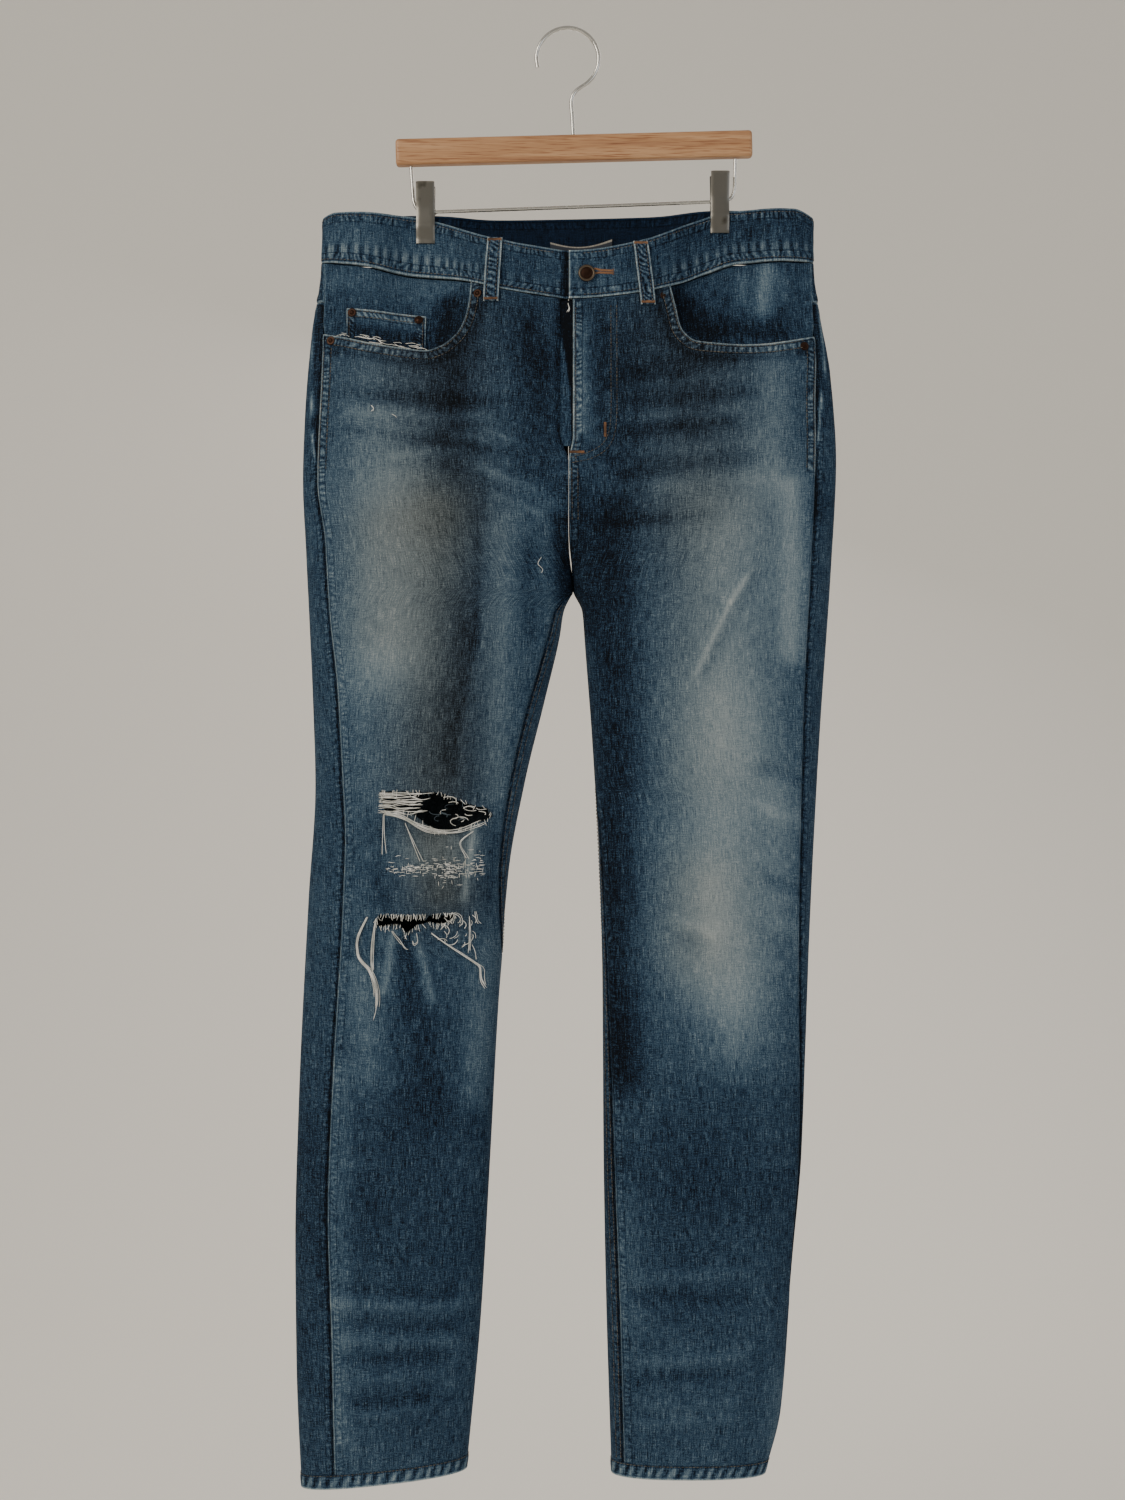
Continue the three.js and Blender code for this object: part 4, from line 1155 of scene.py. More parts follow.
def make_facing(key):
    """The pocket's facing lies under the front and comes up to meet the side seam above the mouth."""
    side = SIDES[key]
    z = np.linspace(LEG_TOP, -308, 46)[:, None]
    start, _ = panel_angles(side, z, True)
    end = angle_at(side, 0 * z + FACING_END[key], z, True)
    points, at, length = strip_grid(side, z, start, end, (0, 0.8, 2), 76)
    if key == "l":
        points, at = points[:, ::-1], at[:, ::-1]
    x, height = points[..., 0], points[..., 2]
    joined = (1 - ease(at, 0, 9)) * ease(height, -268, -256)
    out = mix(-DENIM - 1.7, -0.25, joined)
    tone = 0.24 + marks(x, height, FACING_WEAR_AND_SHADE[key]) + 0.2 * bell(at, 1.0)
    values = worn(tone, 0.0, 20.0, 0.0)
    return wall(f"pocket_facing_{key}", points, out, 1.2, CLOTH, cloth_uv(at, length, z[:, 0]), values)


COIN_WIDE, COIN_DEEP = 68, 28


def make_coin_pocket():
    """It shows between its own top and the pocket's mouth, which cuts across it."""
    mouth = curve(*[tuple(point) for point in MOUTHS["r"][2:][::-1]])

    def place(u, v):
        x = mix(-190, -122, u)
        return x, mix(-245 - 6 * u, mouth(x) + 1, v)

    def out(u, v, x, height):
        rim = np.minimum(u, 1 - u) * COIN_WIDE
        down = v * COIN_DEEP
        return -0.5 - 0.4 * bell(rim, 0.8) - 0.3 * bell(down, 0.8) + 0.25 * bell(down - 4, 3)

    def tone(u, v, x, height):
        return 0.3 - 0.2 * ease(v * COIN_DEEP, 9, 20) + 0.1 * bell(v * COIN_DEEP - 5, 3)

    edge = lambda u, v, x, height: np.minimum(np.minimum(u, 1 - u) * COIN_WIDE + 0.6, v * COIN_DEEP)
    return patch("coin_pocket", True, place, (24, 60), 1.0, out, tone, 1.0, edge)


BACK_POCKET = SimpleNamespace(half_top=74, half_bottom=62, top=-288, corner=-425, point=-446, off=104)


def back_pocket_place(sign):
    shape = BACK_POCKET

    def place(u, v):
        across = 1 - 2 * u
        half = mix(shape.half_top, shape.half_bottom, v)
        low = mix(shape.point, shape.corner, np.abs(across))
        return CENTRE + sign * shape.off + across * half, mix(shape.top + 5 * sign * across, low, v)

    return place


def make_back_pocket(key):
    sign = SIDES[key].sign
    rim = rim_of(136, 148)
    out = lambda u, v, x, h: 2.1 - 0.6 * bell(rim(u, v), 0.9) + 0.3 * bell(rim(u, v) - 5, 4)

    def tone(u, v, x, h):
        return tone_back(x, h) + 0.14 * bell(np.hypot((u - 0.5) * 1.3, v - 0.5), 0.4)

    edge = lambda u, v, x, h: rim(u, v)
    return patch(f"back_pocket_{key}", False, back_pocket_place(sign), (56, 54), 1.2, out, tone, 1.0, edge)


def make_fly_shield():
    place = lambda u, v: (mix(-24, 32, u), mix(-240, -366, v))
    # Right of the gap line the shield is painted near black: painted shade in the fly's opening under the
    # left front's edge.
    gap = curve((-380, 4), (-330, 3), (-300, 0), (-262, -6), (-250, -8))
    tone = lambda u, v, x, height: 0.24 - 0.45 * ease(x - gap(height), -1.2, 1.2)
    return patch("fly_shield", True, place, (60, 64), 1.4, -DENIM - 0.5, tone)


LOOPS = {
    "belt_loop_front_r": ((-62, -186), (-65.5, -241), True),
    "belt_loop_front_l": ((62.5, -189), (69, -244), True),
    "belt_loop_back_r": ((-160, -163), (-160, -215), False),
    "belt_loop_back_c": ((CENTRE, -163), (CENTRE, -215), False),
    "belt_loop_back_l": ((165, -160), (165, -215), False),
}
LOOP_WIDTH, LOOP_THICK, LOOP_ARCH = 12.4, 1.6, 2.2


def loop_rise(v):
    """A belt loop stands off the band in an arch, and is stitched flat at both ends."""
    return BAND_OUT + GAP + LOOP_THICK + LOOP_ARCH * np.sin(np.pi * np.clip(v, 0, 1)) ** 0.6


def loop_place(top, bottom, front):
    def place(u, v):
        across = (1 if front else -1) * (u - 0.5) * LOOP_WIDTH
        return mix(top[0], bottom[0], v) + across, mix(top[1], bottom[1], v)

    return place


def make_belt_loop(name):
    top, bottom, front = LOOPS[name]
    side_rim = lambda u: np.minimum(u, 1 - u) * LOOP_WIDTH
    out = lambda u, v, x, h: loop_rise(v) - 0.5 * bell(side_rim(u), 0.8) + 0.25 * bell(side_rim(u) - 3, 1.5)

    def tone(u, v, x, h):
        ends = np.minimum(v, 1 - v) * 55
        return 0.22 + 0.12 * bell(ends, 2)

    edge = lambda u, v, x, h: side_rim(u)
    return patch(name, front, loop_place(top, bottom, front), (34, 19), LOOP_THICK, out, tone, 1.2, edge)


def make_waist_label():
    """The blank woven tape sewn inside the back of the band: it sags in a shallow curve, and its pale
    folded top edge, 3 mm deep, is what shows over the front."""
    tape, tree = material("woven_label_tape")
    solid = add(tree, "TexCoord", {}, {}, "Object")
    tone = add(tree, "Attribute", {"attribute_name": "tone"}, {}, "Fac")
    weave = streaks(tree, solid, 1.2, 60, 1.0)
    pale = ramp(tree, weave, [(0.3, "#7d7970"), (0.7, "#aaa59a")])
    colour = add(tree, "Mix", {"data_type": "RGBA"}, {0: tone, 6: linear("#1b2430"), 7: pale}, 2)
    surface(tree, Base_Color=colour, Roughness=0.7)

    def place(u, v):
        x = mix(39, -15, u)
        top = -177 - 6.5 * np.sin(np.pi * np.clip(0.06 + 0.88 * u, 0, 1)) - 2.5 * u
        return x, mix(top, -192, v)

    fold = lambda u, v, x, h: 1 - ease(v, 0.11, 0.16)
    lift = lambda u, v, x, h: -BAND_IN - 0.4 - 0.4 * ease(v, 0.2, 0.3)
    return patch("waist_label", False, place, (30, 30), 0.8, lift, fold, finishes=[tape, tape])


# ---------------------------------------------------------------- stitching


def stitches(points, normals, pitch=3.2, length=2.5, radius=0.36):
    """Rows of thread shapes along a path: each is a five-sided grain that starts and ends in the cloth.
    Its frame is the path's direction, the cloth's normal and their cross product."""
    reach = np.concatenate([[0], np.cumsum(np.linalg.norm(np.diff(points, axis=0), axis=1))])
    at = np.arange(pitch / 2, reach[-1], pitch)
    sample = lambda values, s: np.stack([np.interp(s, reach, values[:, k]) for k in range(3)], -1)
    middle = sample(points, at)
    way = unit(sample(points, at + length / 2) - sample(points, at - length / 2))
    return grains(middle, way, sample(normals, at), length, radius)


def grains(middle, way, normal, length, radius):
    """Five-sided grains at given places, directions and normals."""
    across = unit(np.cross(normal, way))
    up = np.cross(way, across)
    ring = np.linspace(0, 2 * np.pi, 6)[:-1]
    along = np.array([-0.5, 0, 0.5])[:, None] * np.asarray(length)
    wide = np.array([0.45, 1.0, 0.45])[:, None] * radius
    lift = np.array([-0.3, 0.25, -0.3])[:, None] * radius
    local = np.stack([
        np.broadcast_to(along, (3, 5)), wide * np.cos(ring), lift + wide * np.sin(ring),
    ], -1)
    frame = np.stack([way, across, up], axis=1)
    points = middle[:, None, None] + np.einsum("rsk,nkd->nrsd", local, frame)
    base = np.arange(len(middle))[:, None] * 15
    quads = (base[..., None] + ring_quads(3, 5)).reshape(-1, 4)
    ends = np.concatenate([base + np.arange(4, -1, -1), base + 10 + np.arange(5)])
    return points.reshape(-1, 3), quads, ends


def gather(name, pieces, finish):
    """Joins several (points, quads, ends) shapes into one mesh object."""
    points, quads, ends, start = [], [], [], 0
    for point, quad, end in pieces:
        points.append(point)
        quads.append(quad + start)
        ends.append(end + start)
        start += len(point)
    faces = [np.concatenate(quads), np.concatenate(ends)]
    return build(name, np.concatenate(points), faces, [finish], sharp=80)


def on_face(route, front, lift, step=1.5):
    """Points and normals along a smooth route of [across, height] on the front or back."""
    route = np.asarray(route, float)
    length = np.linalg.norm(np.diff(route, axis=0), axis=1).sum()
    smooth = spline if len(route) > 2 else resample
    return skin(*smooth(route, max(int(length / step), 3)).T, front, lift)


def beside(line, distance):
    """A line of [across, height] moved sideways: positive is to the left of its direction."""
    way = unit(np.gradient(np.asarray(line, float), axis=0))
    return line + distance * np.stack([-way[:, 1], way[:, 0]], -1)


def along_seam(side, front, heights, inside_by, outer=True):
    """Points and normals on a panel at a distance from one of its seams, measured along the cloth."""
    z = np.asarray(heights, float)
    one, two = panel_angles(side, z, front)
    way = (1 if front else -1) * (1 if outer else -1)
    angle = slide(side, one if outer else two, z, way * inside_by)
    normal = level_normal(nudged(side, angle, z), -side.sign)
    return form(side, angle, z) + normal * 0.6, normal


def sew(group, path, **how):
    """Adds a row of stitches along a path, given as its points and their normals."""
    group.append(stitches(*path, **how))


def sew_mouths(front):
    """Two rows along the mouth of each front pocket."""
    for key, side in SIDES.items():
        for distance in (2.2, 8.0):
            row = beside(MOUTH_LINES[key], -side.sign * distance)
            row = row[(np.abs(row[:, 0]) < 204) & (row[:, 1] < -232)]
            gape = 1.0 if key == "r" else 1.0 + bell(row[:, 0] - 112, 26)[:, None] * 4.4 * bell(distance, 16)
            sew(front, skin(*row.T, True, gape))


def sew_coin_pocket(front):
    """Two rows along its top and one down each side."""
    for drop in (2.0, 7.0):
        sew(front, on_face([(-189, -245.1 - drop), (-123, -250.9 - drop)], True, 0.05))
    sew(front, on_face([(-187.5, -247), (-187.5, -270)], True, 0.05))
    sew(front, on_face([(-124.5, -252), (-124.5, -281)], True, 0.05))


def sew_fly(front):
    """A row down its edge, the curved double row, and two rows on down the rise."""
    edge = [(CENTRE + 6, -246), (CENTRE + 6, -380)]
    sew(front, on_face(edge, True, 0.4), pitch=2.6, length=2.1)
    for inward in (0.0, 5.0):
        curve_in = [
            (42 - inward, -244), (42 - inward, -300), (41.5 - inward, -345),
            (36 - inward, -365 + inward * 0.5), (22 - inward * 0.6, -376 + inward), (3, -381 + inward),
        ]
        sew(front, on_face(curve_in, True, 0.45))
    sew(front, on_face([(CENTRE + 2.5, -385), (CENTRE + 3, -430)], True, 0.6))
    sew(front, on_face([(CENTRE + 7.5, -385), (CENTRE + 8, -428)], True, 0.5))


def sew_side_seams(front, back):
    """Two rows down each outseam as far as the hip, and two down each inseam."""
    for side in SIDES.values():
        for distance in (2.0, 8.0):
            sew(front, along_seam(side, True, np.arange(-278, -385, -1.5), distance))
    for side in SIDES.values():
        for distance in (2.2, 7.5):
            heights = np.arange(-500, HEM + HEM_HEIGHT + 2, -1.5)
            sew(back, along_seam(side, False, heights, distance, outer=False))


def sew_hems(front, back):
    """A row round each leg, a little under the hem's top."""
    for side in SIDES.values():
        point = form(side, np.linspace(0, 2 * np.pi, 400), HEM + HEM_HEIGHT - 0.6)
        normal = level_normal(np.gradient(point, axis=0), -side.sign)
        sew(front if side is LEFT else back, (point + normal * 0.35, normal))


def sew_waistband(band):
    """A row inside each edge, all round."""
    angle = np.linspace(np.pi / 2 - 0.03, -np.pi / 2, 330)
    over = angle > 0
    for share in (0.07, 0.93):
        for side in SIDES.values():
            point = form(side, angle, mix(WAIST, BAND_SEAM, share))
            x = point[:, 0]
            top, low = np.where(over, TOP_FRONT(x), TOP_BACK(x)), np.where(over, SEAM_FRONT(x), BAND_SEAM)
            point[:, 2] = mix(top, low, share)
            normal = level_normal(np.gradient(point, axis=0), side.sign)
            sew(band, (point + normal * (BAND_OUT + 0.05), normal))


def sew_back_pocket(back, sign):
    """Two rows down its sides and round its point, and two along its mouth."""
    place = back_pocket_place(sign)
    for inset in (0.016, 0.06):
        u = np.array([inset, inset, 0.5, 1 - inset, 1 - inset])
        deep = 1 - inset * 0.95
        corners = np.stack(place(u, np.array([0.0, deep, deep, deep, 0.0])), -1)
        fine = np.concatenate([resample(corners[k : k + 2], 60)[:-1] for k in range(4)])
        sew(back, skin(*fine.T, False, 2.25))
    for share in (0.02, 0.075):
        u = np.linspace(0.01, 0.99, 90)
        sew(back, skin(*place(u, 0 * u + share), False, 2.3))


def sew_seat(back):
    """Two rows above each yoke seam, the back pockets, and two rows down the rise."""
    for sign in (-1, 1):
        for drop in (2.2, 8.0):
            x = np.linspace(CENTRE + sign * 3, sign * 205, 140)
            sew(back, skin(x, yoke_seam(x) + drop, False, 0.5))
        sew_back_pocket(back, sign)
    for off in (2.2, 7.5):
        heights = np.arange(-270, -470, -1.5)
        sew(back, skin(0 * heights + CENTRE - off, heights, False, 0.5))


def sew_loops(band, copper):
    """Belt loops: a row inside each edge, and a bartack across each end."""
    for top, bottom, over in LOOPS.values():
        place = loop_place(top, bottom, over)
        for u in (0.2, 0.8):
            v = np.linspace(0.04, 0.96, 60)
            sew(band, skin(*place(u, v), over, loop_rise(v)[:, None] + 0.1))
        for v in (0.035, 0.965):
            copper.append(bartack(*place(np.linspace(0.06, 0.94, 25), v), over, loop_rise(v) + 0.15, 2.6))


def make_stitching():
    front, back, band, copper = [], [], [], []
    sew_mouths(front)
    sew_coin_pocket(front)
    sew_fly(front)
    sew_side_seams(front, back)
    sew_hems(front, back)
    sew_waistband(band)
    sew_seat(back)
    sew_loops(band, copper)
    # the fly's two bartacks, level at its foot and upright beside the curved rows
    x = np.linspace(2, 14, 26)
    copper.append(bartack(x, 0 * x - 371.5, True, 0.6, 2.4))
    height = np.linspace(-346, -358, 24)
    copper.append(bartack(0 * height + 32, height, True, 0.6, 2.4, upright=False))
    for name, group in (("front", front), ("back", back), ("band", band)):
        ride(gather(f"stitching_{name}", group, TAN_THREAD))
    ride(gather("bartacks", copper, COPPER_THREAD))


def bartack(x, height, front, lift, tall, upright=True):
    """A block of close stitches side by side, each as long as the tack is tall."""
    point, normal = skin(x, height, front, lift)
    way = np.broadcast_to([0, 0, 1.0] if upright else [1.0, 0, 0], point.shape)
    way = unit(way - normal * (way * normal).sum(-1, keepdims=True))
    return grains(point, way, normal, tall, 0.34)


# ---------------------------------------------------------------- frayed threads


def tubes(paths, radius, sides=5, taper=True):
    """Round threads along many paths of equal step count, shape (threads, steps, 3). Each ring stands
    across its path, with one axis level with the cloth's depth, and its ends narrow and are closed."""
    paths = np.asarray(paths, float)
    count, steps = paths.shape[:2]
    way = unit(np.gradient(paths, axis=1))
    across = unit(np.cross(way, [0, 1.0, 0.02]))
    up = np.cross(across, way)
    ring = np.linspace(0, 2 * np.pi, sides + 1)[:-1]
    size = np.broadcast_to(np.asarray(radius, float).reshape(-1, 1), (count, steps)).copy()
    if taper:
        size[:, 0] *= 0.4
        size[:, -1] *= 0.35
    size = size[..., None, None]
    points = paths[:, :, None] + size * (
        np.cos(ring)[:, None] * across[:, :, None] + np.sin(ring)[:, None] * up[:, :, None]
    )
    start = np.arange(count)[:, None] * steps * sides
    quads = (start[..., None] + ring_quads(steps, sides)[:, [0, 3, 2, 1]]).reshape(-1, 4)
    last = start + (steps - 1) * sides + np.arange(sides - 1, -1, -1)
    return points.reshape(-1, 3), quads, np.concatenate([start + np.arange(sides), last])


THREAD = 0.28  # radius of a loose yarn


def bundle(route, count, spread, radius, steps=26):
    """Threads that start together and drift apart: each adds its own slow waves to the route, more
    towards its end. The route is [across, height, how far out of the cloth]."""
    route = spline(np.asarray(route, float), steps)
    base = face(route[:, 0], route[:, 1], True)
    base[:, 1] -= route[:, 2] + 0.6
    t = np.linspace(0, 1, steps)[None, :, None]
    phase = CHANCE.uniform(0, 2 * np.pi, (count, 1, 3))
    turns = CHANCE.uniform(0.5, 1.6, (count, 1, 3))
    sway = np.sin(phase + 2 * np.pi * turns * t) - np.sin(phase)
    drift = CHANCE.normal(0, 1, (count, 1, 3)) * t**0.8
    start = CHANCE.normal(0, 0.35, (count, 1, 3))
    size = np.array([1.0, 0.5, 0.6]) * spread
    paths = base[None] + start + (drift * 0.8 + sway * 0.5 * t) * size
    kept = np.maximum((steps * CHANCE.uniform(0.72, 1.0, count)).astype(int), 6)
    paths = np.stack([resample(path[:end], steps) for path, end in zip(paths, kept)])
    return tubes(paths, CHANCE.uniform(0.75, 1.1, count) * radius)


def curl(x, z, size, angle, wide, tall, out):
    """Six points round part of a flattened ring, each its own way out of the cloth."""
    return np.stack([x + wide * size * np.cos(angle), z + tall * size * np.sin(angle), out], -1)


def fray_upper_rip(white, blue):
    """Loose weft across its left half, long threads that sag along its lower edge, three that hang
    and the loops at its right."""
    rows = np.linspace(-661.2, -678.5, 19)
    left, right = -160.5, mix(-111, -118, (rows + 661) / -17)
    for height, end in zip(rows, right):
        sag_by = CHANCE.uniform(0.3, 1.6)
        wave = CHANCE.normal(0, 0.9, 4)
        x = np.linspace(left, end + CHANCE.uniform(-3, 4), 6)
        z = height + np.array([0, *wave, 0]) - sag_by * np.array([0, 0.6, 1, 1, 0.6, 0])
        white.append(bundle(np.stack([x, z, CHANCE.normal(0.2, 0.5, 6)], -1), 1, 0.5, 0.3, 24))
    for _ in range(9):
        low = CHANCE.normal(0, 1.3, 5)
        white.append(bundle([
            (-156, -678 + low[0], 0.4), (-140, -682 + low[1], 0.8), (-119, -692 + low[2], 1.0),
            (-95, -695 + low[3], 1.0), (-74, -688 + low[4], 0.8), (-65, -683, 0.3),
        ], 1, 1.0, THREAD, 34))
    white.append(bundle([(-156, -679, 0), (-155.5, -700, 1.5), (-154, -724, 1.2)], 2, 1.4, THREAD))
    white.append(bundle([(-138, -687, 0), (-130, -706, 1.5), (-122, -728, 1.2)], 2, 2.0, THREAD))
    white.append(bundle([
        (-80, -694, 0), (-91, -704, 1.6), (-84, -719, 1.6), (-83.5, -729, 1.2),
    ], 2, 1.2, THREAD))
    for k in range(20):
        x, z = CHANCE.uniform(-112, -72), CHANCE.uniform(-686, -667)
        size = CHANCE.uniform(2.5, 5)
        angle = CHANCE.uniform(0, 2 * np.pi) + np.linspace(0, 2.8, 6)
        ring = curl(x, z, size, angle, 1.5, 0.7, 0.5 + CHANCE.uniform(0, 1.4, 6))
        (white if k % 3 else blue).append(bundle(ring, 1, 0.8, 0.3))


def fringe(white, blue):
    """Short threads that hang from the rips' edges."""
    for outline, share in ((RIPS[0], 0.5), (RIPS[1], 0.75)):
        edge = spline(outline + outline[:1], 150)
        keep = CHANCE.uniform(0, 1, 150) < share
        for x, z in edge[keep]:
            length = CHANCE.uniform(2, 6.5)
            lean = CHANCE.normal(0, 0.5) * length
            fall = [(x, z + 1.2, 0.1), (x + lean * 0.5, z - length * 0.5, 0.7), (x + lean, z - length, 0.5)]
            (white if CHANCE.uniform() < 0.7 else blue).append(bundle(fall, 1, 0.5, 0.26, 8))


# Each bunch that hangs from the lower rip: its route, and its threads' number, spread, radius and steps.
BUNCHES = [
    ([
        (-170.5, -767, 0.2), (-178.5, -785, 1.2), (-179, -798, 1.4), (-175.6, -805, 1.4), (-168, -814, 1.2),
        (-163.5, -830, 1.2), (-164, -846, 1.0), (-168, -861, 0.8),
    ], 9, 2.2, THREAD, 34),
    ([(-163.5, -769, 0.2), (-165.5, -790, 1.4), (-166, -806, 1.4), (-163.7, -826, 1.0)], 4, 1.6, THREAD, 26),
    ([(-149, -779, 0.4), (-140, -793, 1.6), (-135, -796, 1.4)], 3, 2.0, THREAD, 26),
    ([(-128, -781, 0.4), (-127, -788, 1.6), (-130, -790, 1.6), (-131, -784, 1.2)], 2, 0.8, THREAD, 26),
    ([
        (-116, -781, 0.4), (-99.5, -793, 1.6), (-87.6, -801, 1.8), (-76, -809, 1.6), (-74.6, -812, 1.4),
        (-74, -822, 1.4), (-69, -831, 1.0),
    ], 6, 1.6, THREAD, 30),
    ([(-84, -767, 0.2), (-83, -785, 1.4), (-83.5, -803, 1.2)], 3, 1.0, THREAD, 26),
    ([(-82, -791, 0.4), (-79, -798, 1.6), (-77, -806, 1.2)], 2, 1.2, 0.32, 26),
    ([(-79, -763, 0.2), (-77.5, -771, 1.4), (-73, -776, 1.2)], 2, 1.0, THREAD, 26),
]


def fray_lower_rip(white):
    """The bunches that hang from it, and the loose loops at its right."""
    for bunch in BUNCHES:
        white.append(bundle(*bunch))
    for _ in range(22):
        x, z = CHANCE.uniform(-110, -84), CHANCE.uniform(-790, -768)
        size = CHANCE.uniform(2, 7)
        angle = CHANCE.normal(-0.6, 0.7) + np.linspace(0, CHANCE.uniform(1, 2.6), 6)
        ring = curl(x, z, size, angle, 1.3, 1.0, 0.4 + CHANCE.uniform(0, 2, 6))
        white.append(bundle(ring, 1, 0.8, 0.3))


def fleck_worn_band(white):
    """Flecks of bared thread in the worn band between the rips, closer at its right."""
    flecks = []
    for _ in range(230):
        right_share = CHANCE.uniform() ** 0.7
        x, z = mix(-156, -72, right_share), CHANCE.normal(-725.5, 6.0 if right_share > 0.5 else 3.0)
        length = CHANCE.uniform(1.5, 6)
        level = CHANCE.uniform() < 0.7
        dx, dz = (length, CHANCE.normal(0, 0.4)) if level else (CHANCE.normal(0, 0.5), length * 0.7)
        flecks.append([(x - dx / 2, z - dz / 2), (x, z + CHANCE.normal(0, 0.2)), (x + dx / 2, z + dz / 2)])
    flecks = np.array(flecks)
    paths = face(flecks[..., 0], flecks[..., 1], True)
    paths[..., 1] -= np.array([-0.1, 0.3, -0.1])
    white.append(tubes(paths, 0.26))


def fray_right_mouth(white):
    """Torn white threads along the right pocket's mouth, under the coin pocket."""
    line = MOUTH_LINES["r"]
    for _ in range(26):
        x = CHANCE.uniform(-196, -120)
        z = np.interp(x, line[::-1, 0], line[::-1, 1]) + CHANCE.uniform(-0.5, 5.5)
        length = CHANCE.uniform(5, 15)
        white.append(bundle([
            (x - length / 2, z + 0.1 * length, -0.3), (x, z + CHANCE.normal(0, 1.2), 0.4),
            (x + length / 2, z - 0.1 * length, -0.3),
        ], 1, 0.6, 0.24, 12))


def make_fray():
    white, blue = [], []
    fray_upper_rip(white, blue)
    fringe(white, blue)
    fray_lower_rip(white)
    fleck_worn_band(white)
    fray_right_mouth(white)
    # a curl by the crotch, two nicks on the thigh and the end of a thread at the fly
    crotch = [(-22, -460, 0.2), (-25, -466, 1.0), (-21, -471, 1.2), (-24, -477, 0.8)]
    white.append(bundle(crotch, 1, 0.6, THREAD))
    white.append(bundle([(-168, -330, 0), (-166, -333, 0.8), (-168.5, -336, 0.2)], 2, 0.8, 0.3, 10))
    white.append(bundle([(-150, -338, 0), (-146, -341, 0.8), (-145, -344, 0.2)], 1, 0.8, 0.3, 10))
    white.append(bundle([(0.5, -243, 1), (1.5, -248, 1.8), (-0.5, -252, 1)], 2, 0.6, 0.3, 10))
    ride(gather("frayed_weft", white, WHITE_YARN))
    ride(gather("frayed_warp", blue, BLUE_YARN))


# ---------------------------------------------------------------- metal and wood


def brushed(name, colour, rough, grain_mm, dirt="#4a463f", dirt_from=0.62):
    """Plated steel brushed along its length: fine lines about 0.3 mm apart, a satin gloss, and a
    little tarnish in patches."""
    made, tree = material(name)
    solid = add(tree, "TexCoord", {}, {}, "Object")
    lines = add(tree, "TexNoise", {}, {
        "Vector": add(tree, "Mapping", {}, {0: solid, 3: tuple(1000 / g for g in grain_mm)}),
        "Scale": 1.0, "Detail": 3.0,
    })
    patches = add(tree, "TexNoise", {}, {"Vector": solid, "Scale": 1000 / 14, "Detail": 3.0})
    tint = ramp(tree, patches, [(0.4, colour), (dirt_from, colour), (0.8, dirt)])
    gloss = add(tree, "MapRange", {}, {0: lines, 1: 0.3, 2: 0.7, 3: rough - 0.08, 4: rough + 0.12})
    bump = add(tree, "Bump", {}, {"Strength": 0.25, "Distance": 0.0001, "Height": lines})
    surface(tree, Base_Color=tint, Metallic=1.0, Roughness=gloss, Normal=bump)
    return made


NICKEL = brushed("brushed_nickel_plate", "#73716b", 0.36, (0.3, 0.3, 20))
WIRE = brushed("polished_steel_wire", "#c9c7c1", 0.2, (3, 3, 3))
COPPER = brushed("antiqued_copper_cap", "#35261f", 0.45, (2, 2, 2), "#0f0b09", 0.5)
BRONZE = brushed("dark_bronze_shank_button", "#5c5145", 0.4, (2, 2, 2), "#1d1712", 0.56)


def make_beech():
    """Oiled beech: long straight pores along the bar, 0.6 mm wide and 25 mm long, over a broad
    figure of pinker and paler bands."""
    made, tree = material("oiled_beech")
    solid = add(tree, "TexCoord", {}, {}, "Object")
    noises = []
    for size, detail in (((160, 14, 5), 3.0), ((22, 0.9, 0.8), 2.0)):
        spread = add(tree, "Mapping", {}, {0: solid, 3: tuple(1000 / g for g in size)})
        noises.append(add(tree, "TexNoise", {}, {"Vector": spread, "Scale": 1.0, "Detail": detail}))
    figure, pores = noises
    colour = ramp(tree, figure, [(0.25, "#96694a"), (0.5, "#ad8159"), (0.75, "#c09870")])
    dark = ramp(tree, pores, [(0.3, "#b28a6a"), (0.5, "#ffffff")])
    multiply = {"data_type": "RGBA", "blend_type": "MULTIPLY"}
    colour = add(tree, "Mix", multiply, {0: 0.8, 6: colour, 7: dark}, 2)
    bump = add(tree, "Bump", {}, {"Strength": 0.3, "Distance": 0.0002, "Height": pores})
    surface(tree, Base_Color=colour, Roughness=0.48, Normal=bump)
    return made


def lathe(profile, x, height, lift, segments=40):
    """A profile of [radius, height] turned about the front's normal, its ends on the axis."""
    profile = np.asarray(profile, float)
    seat, normal = (part[0] for part in skin(np.array([x]), np.array([height]), True, lift))
    one = unit(np.cross(normal, [0, 0, 1.0]))
    two = np.cross(normal, one)
    angle = np.linspace(0, 2 * np.pi, segments, endpoint=False)
    spokes = np.cos(angle)[:, None] * one + np.sin(angle)[:, None] * two
    rings = seat + profile[1:-1, :1, None] * spokes + profile[1:-1, 1:, None] * normal
    points = np.vstack([seat + profile[0, 1] * normal, rings.reshape(-1, 3), seat + profile[-1, 1] * normal])
    here = np.arange(segments)
    after = (here + 1) % segments
    last = 1 + (len(profile) - 3) * segments
    bottom = np.stack([0 * here, 1 + after, 1 + here], -1)
    top = np.stack([0 * here + len(points) - 1, last + here, last + after], -1)
    return points, ring_quads(len(profile) - 2, segments, 1), np.vstack([bottom, top])


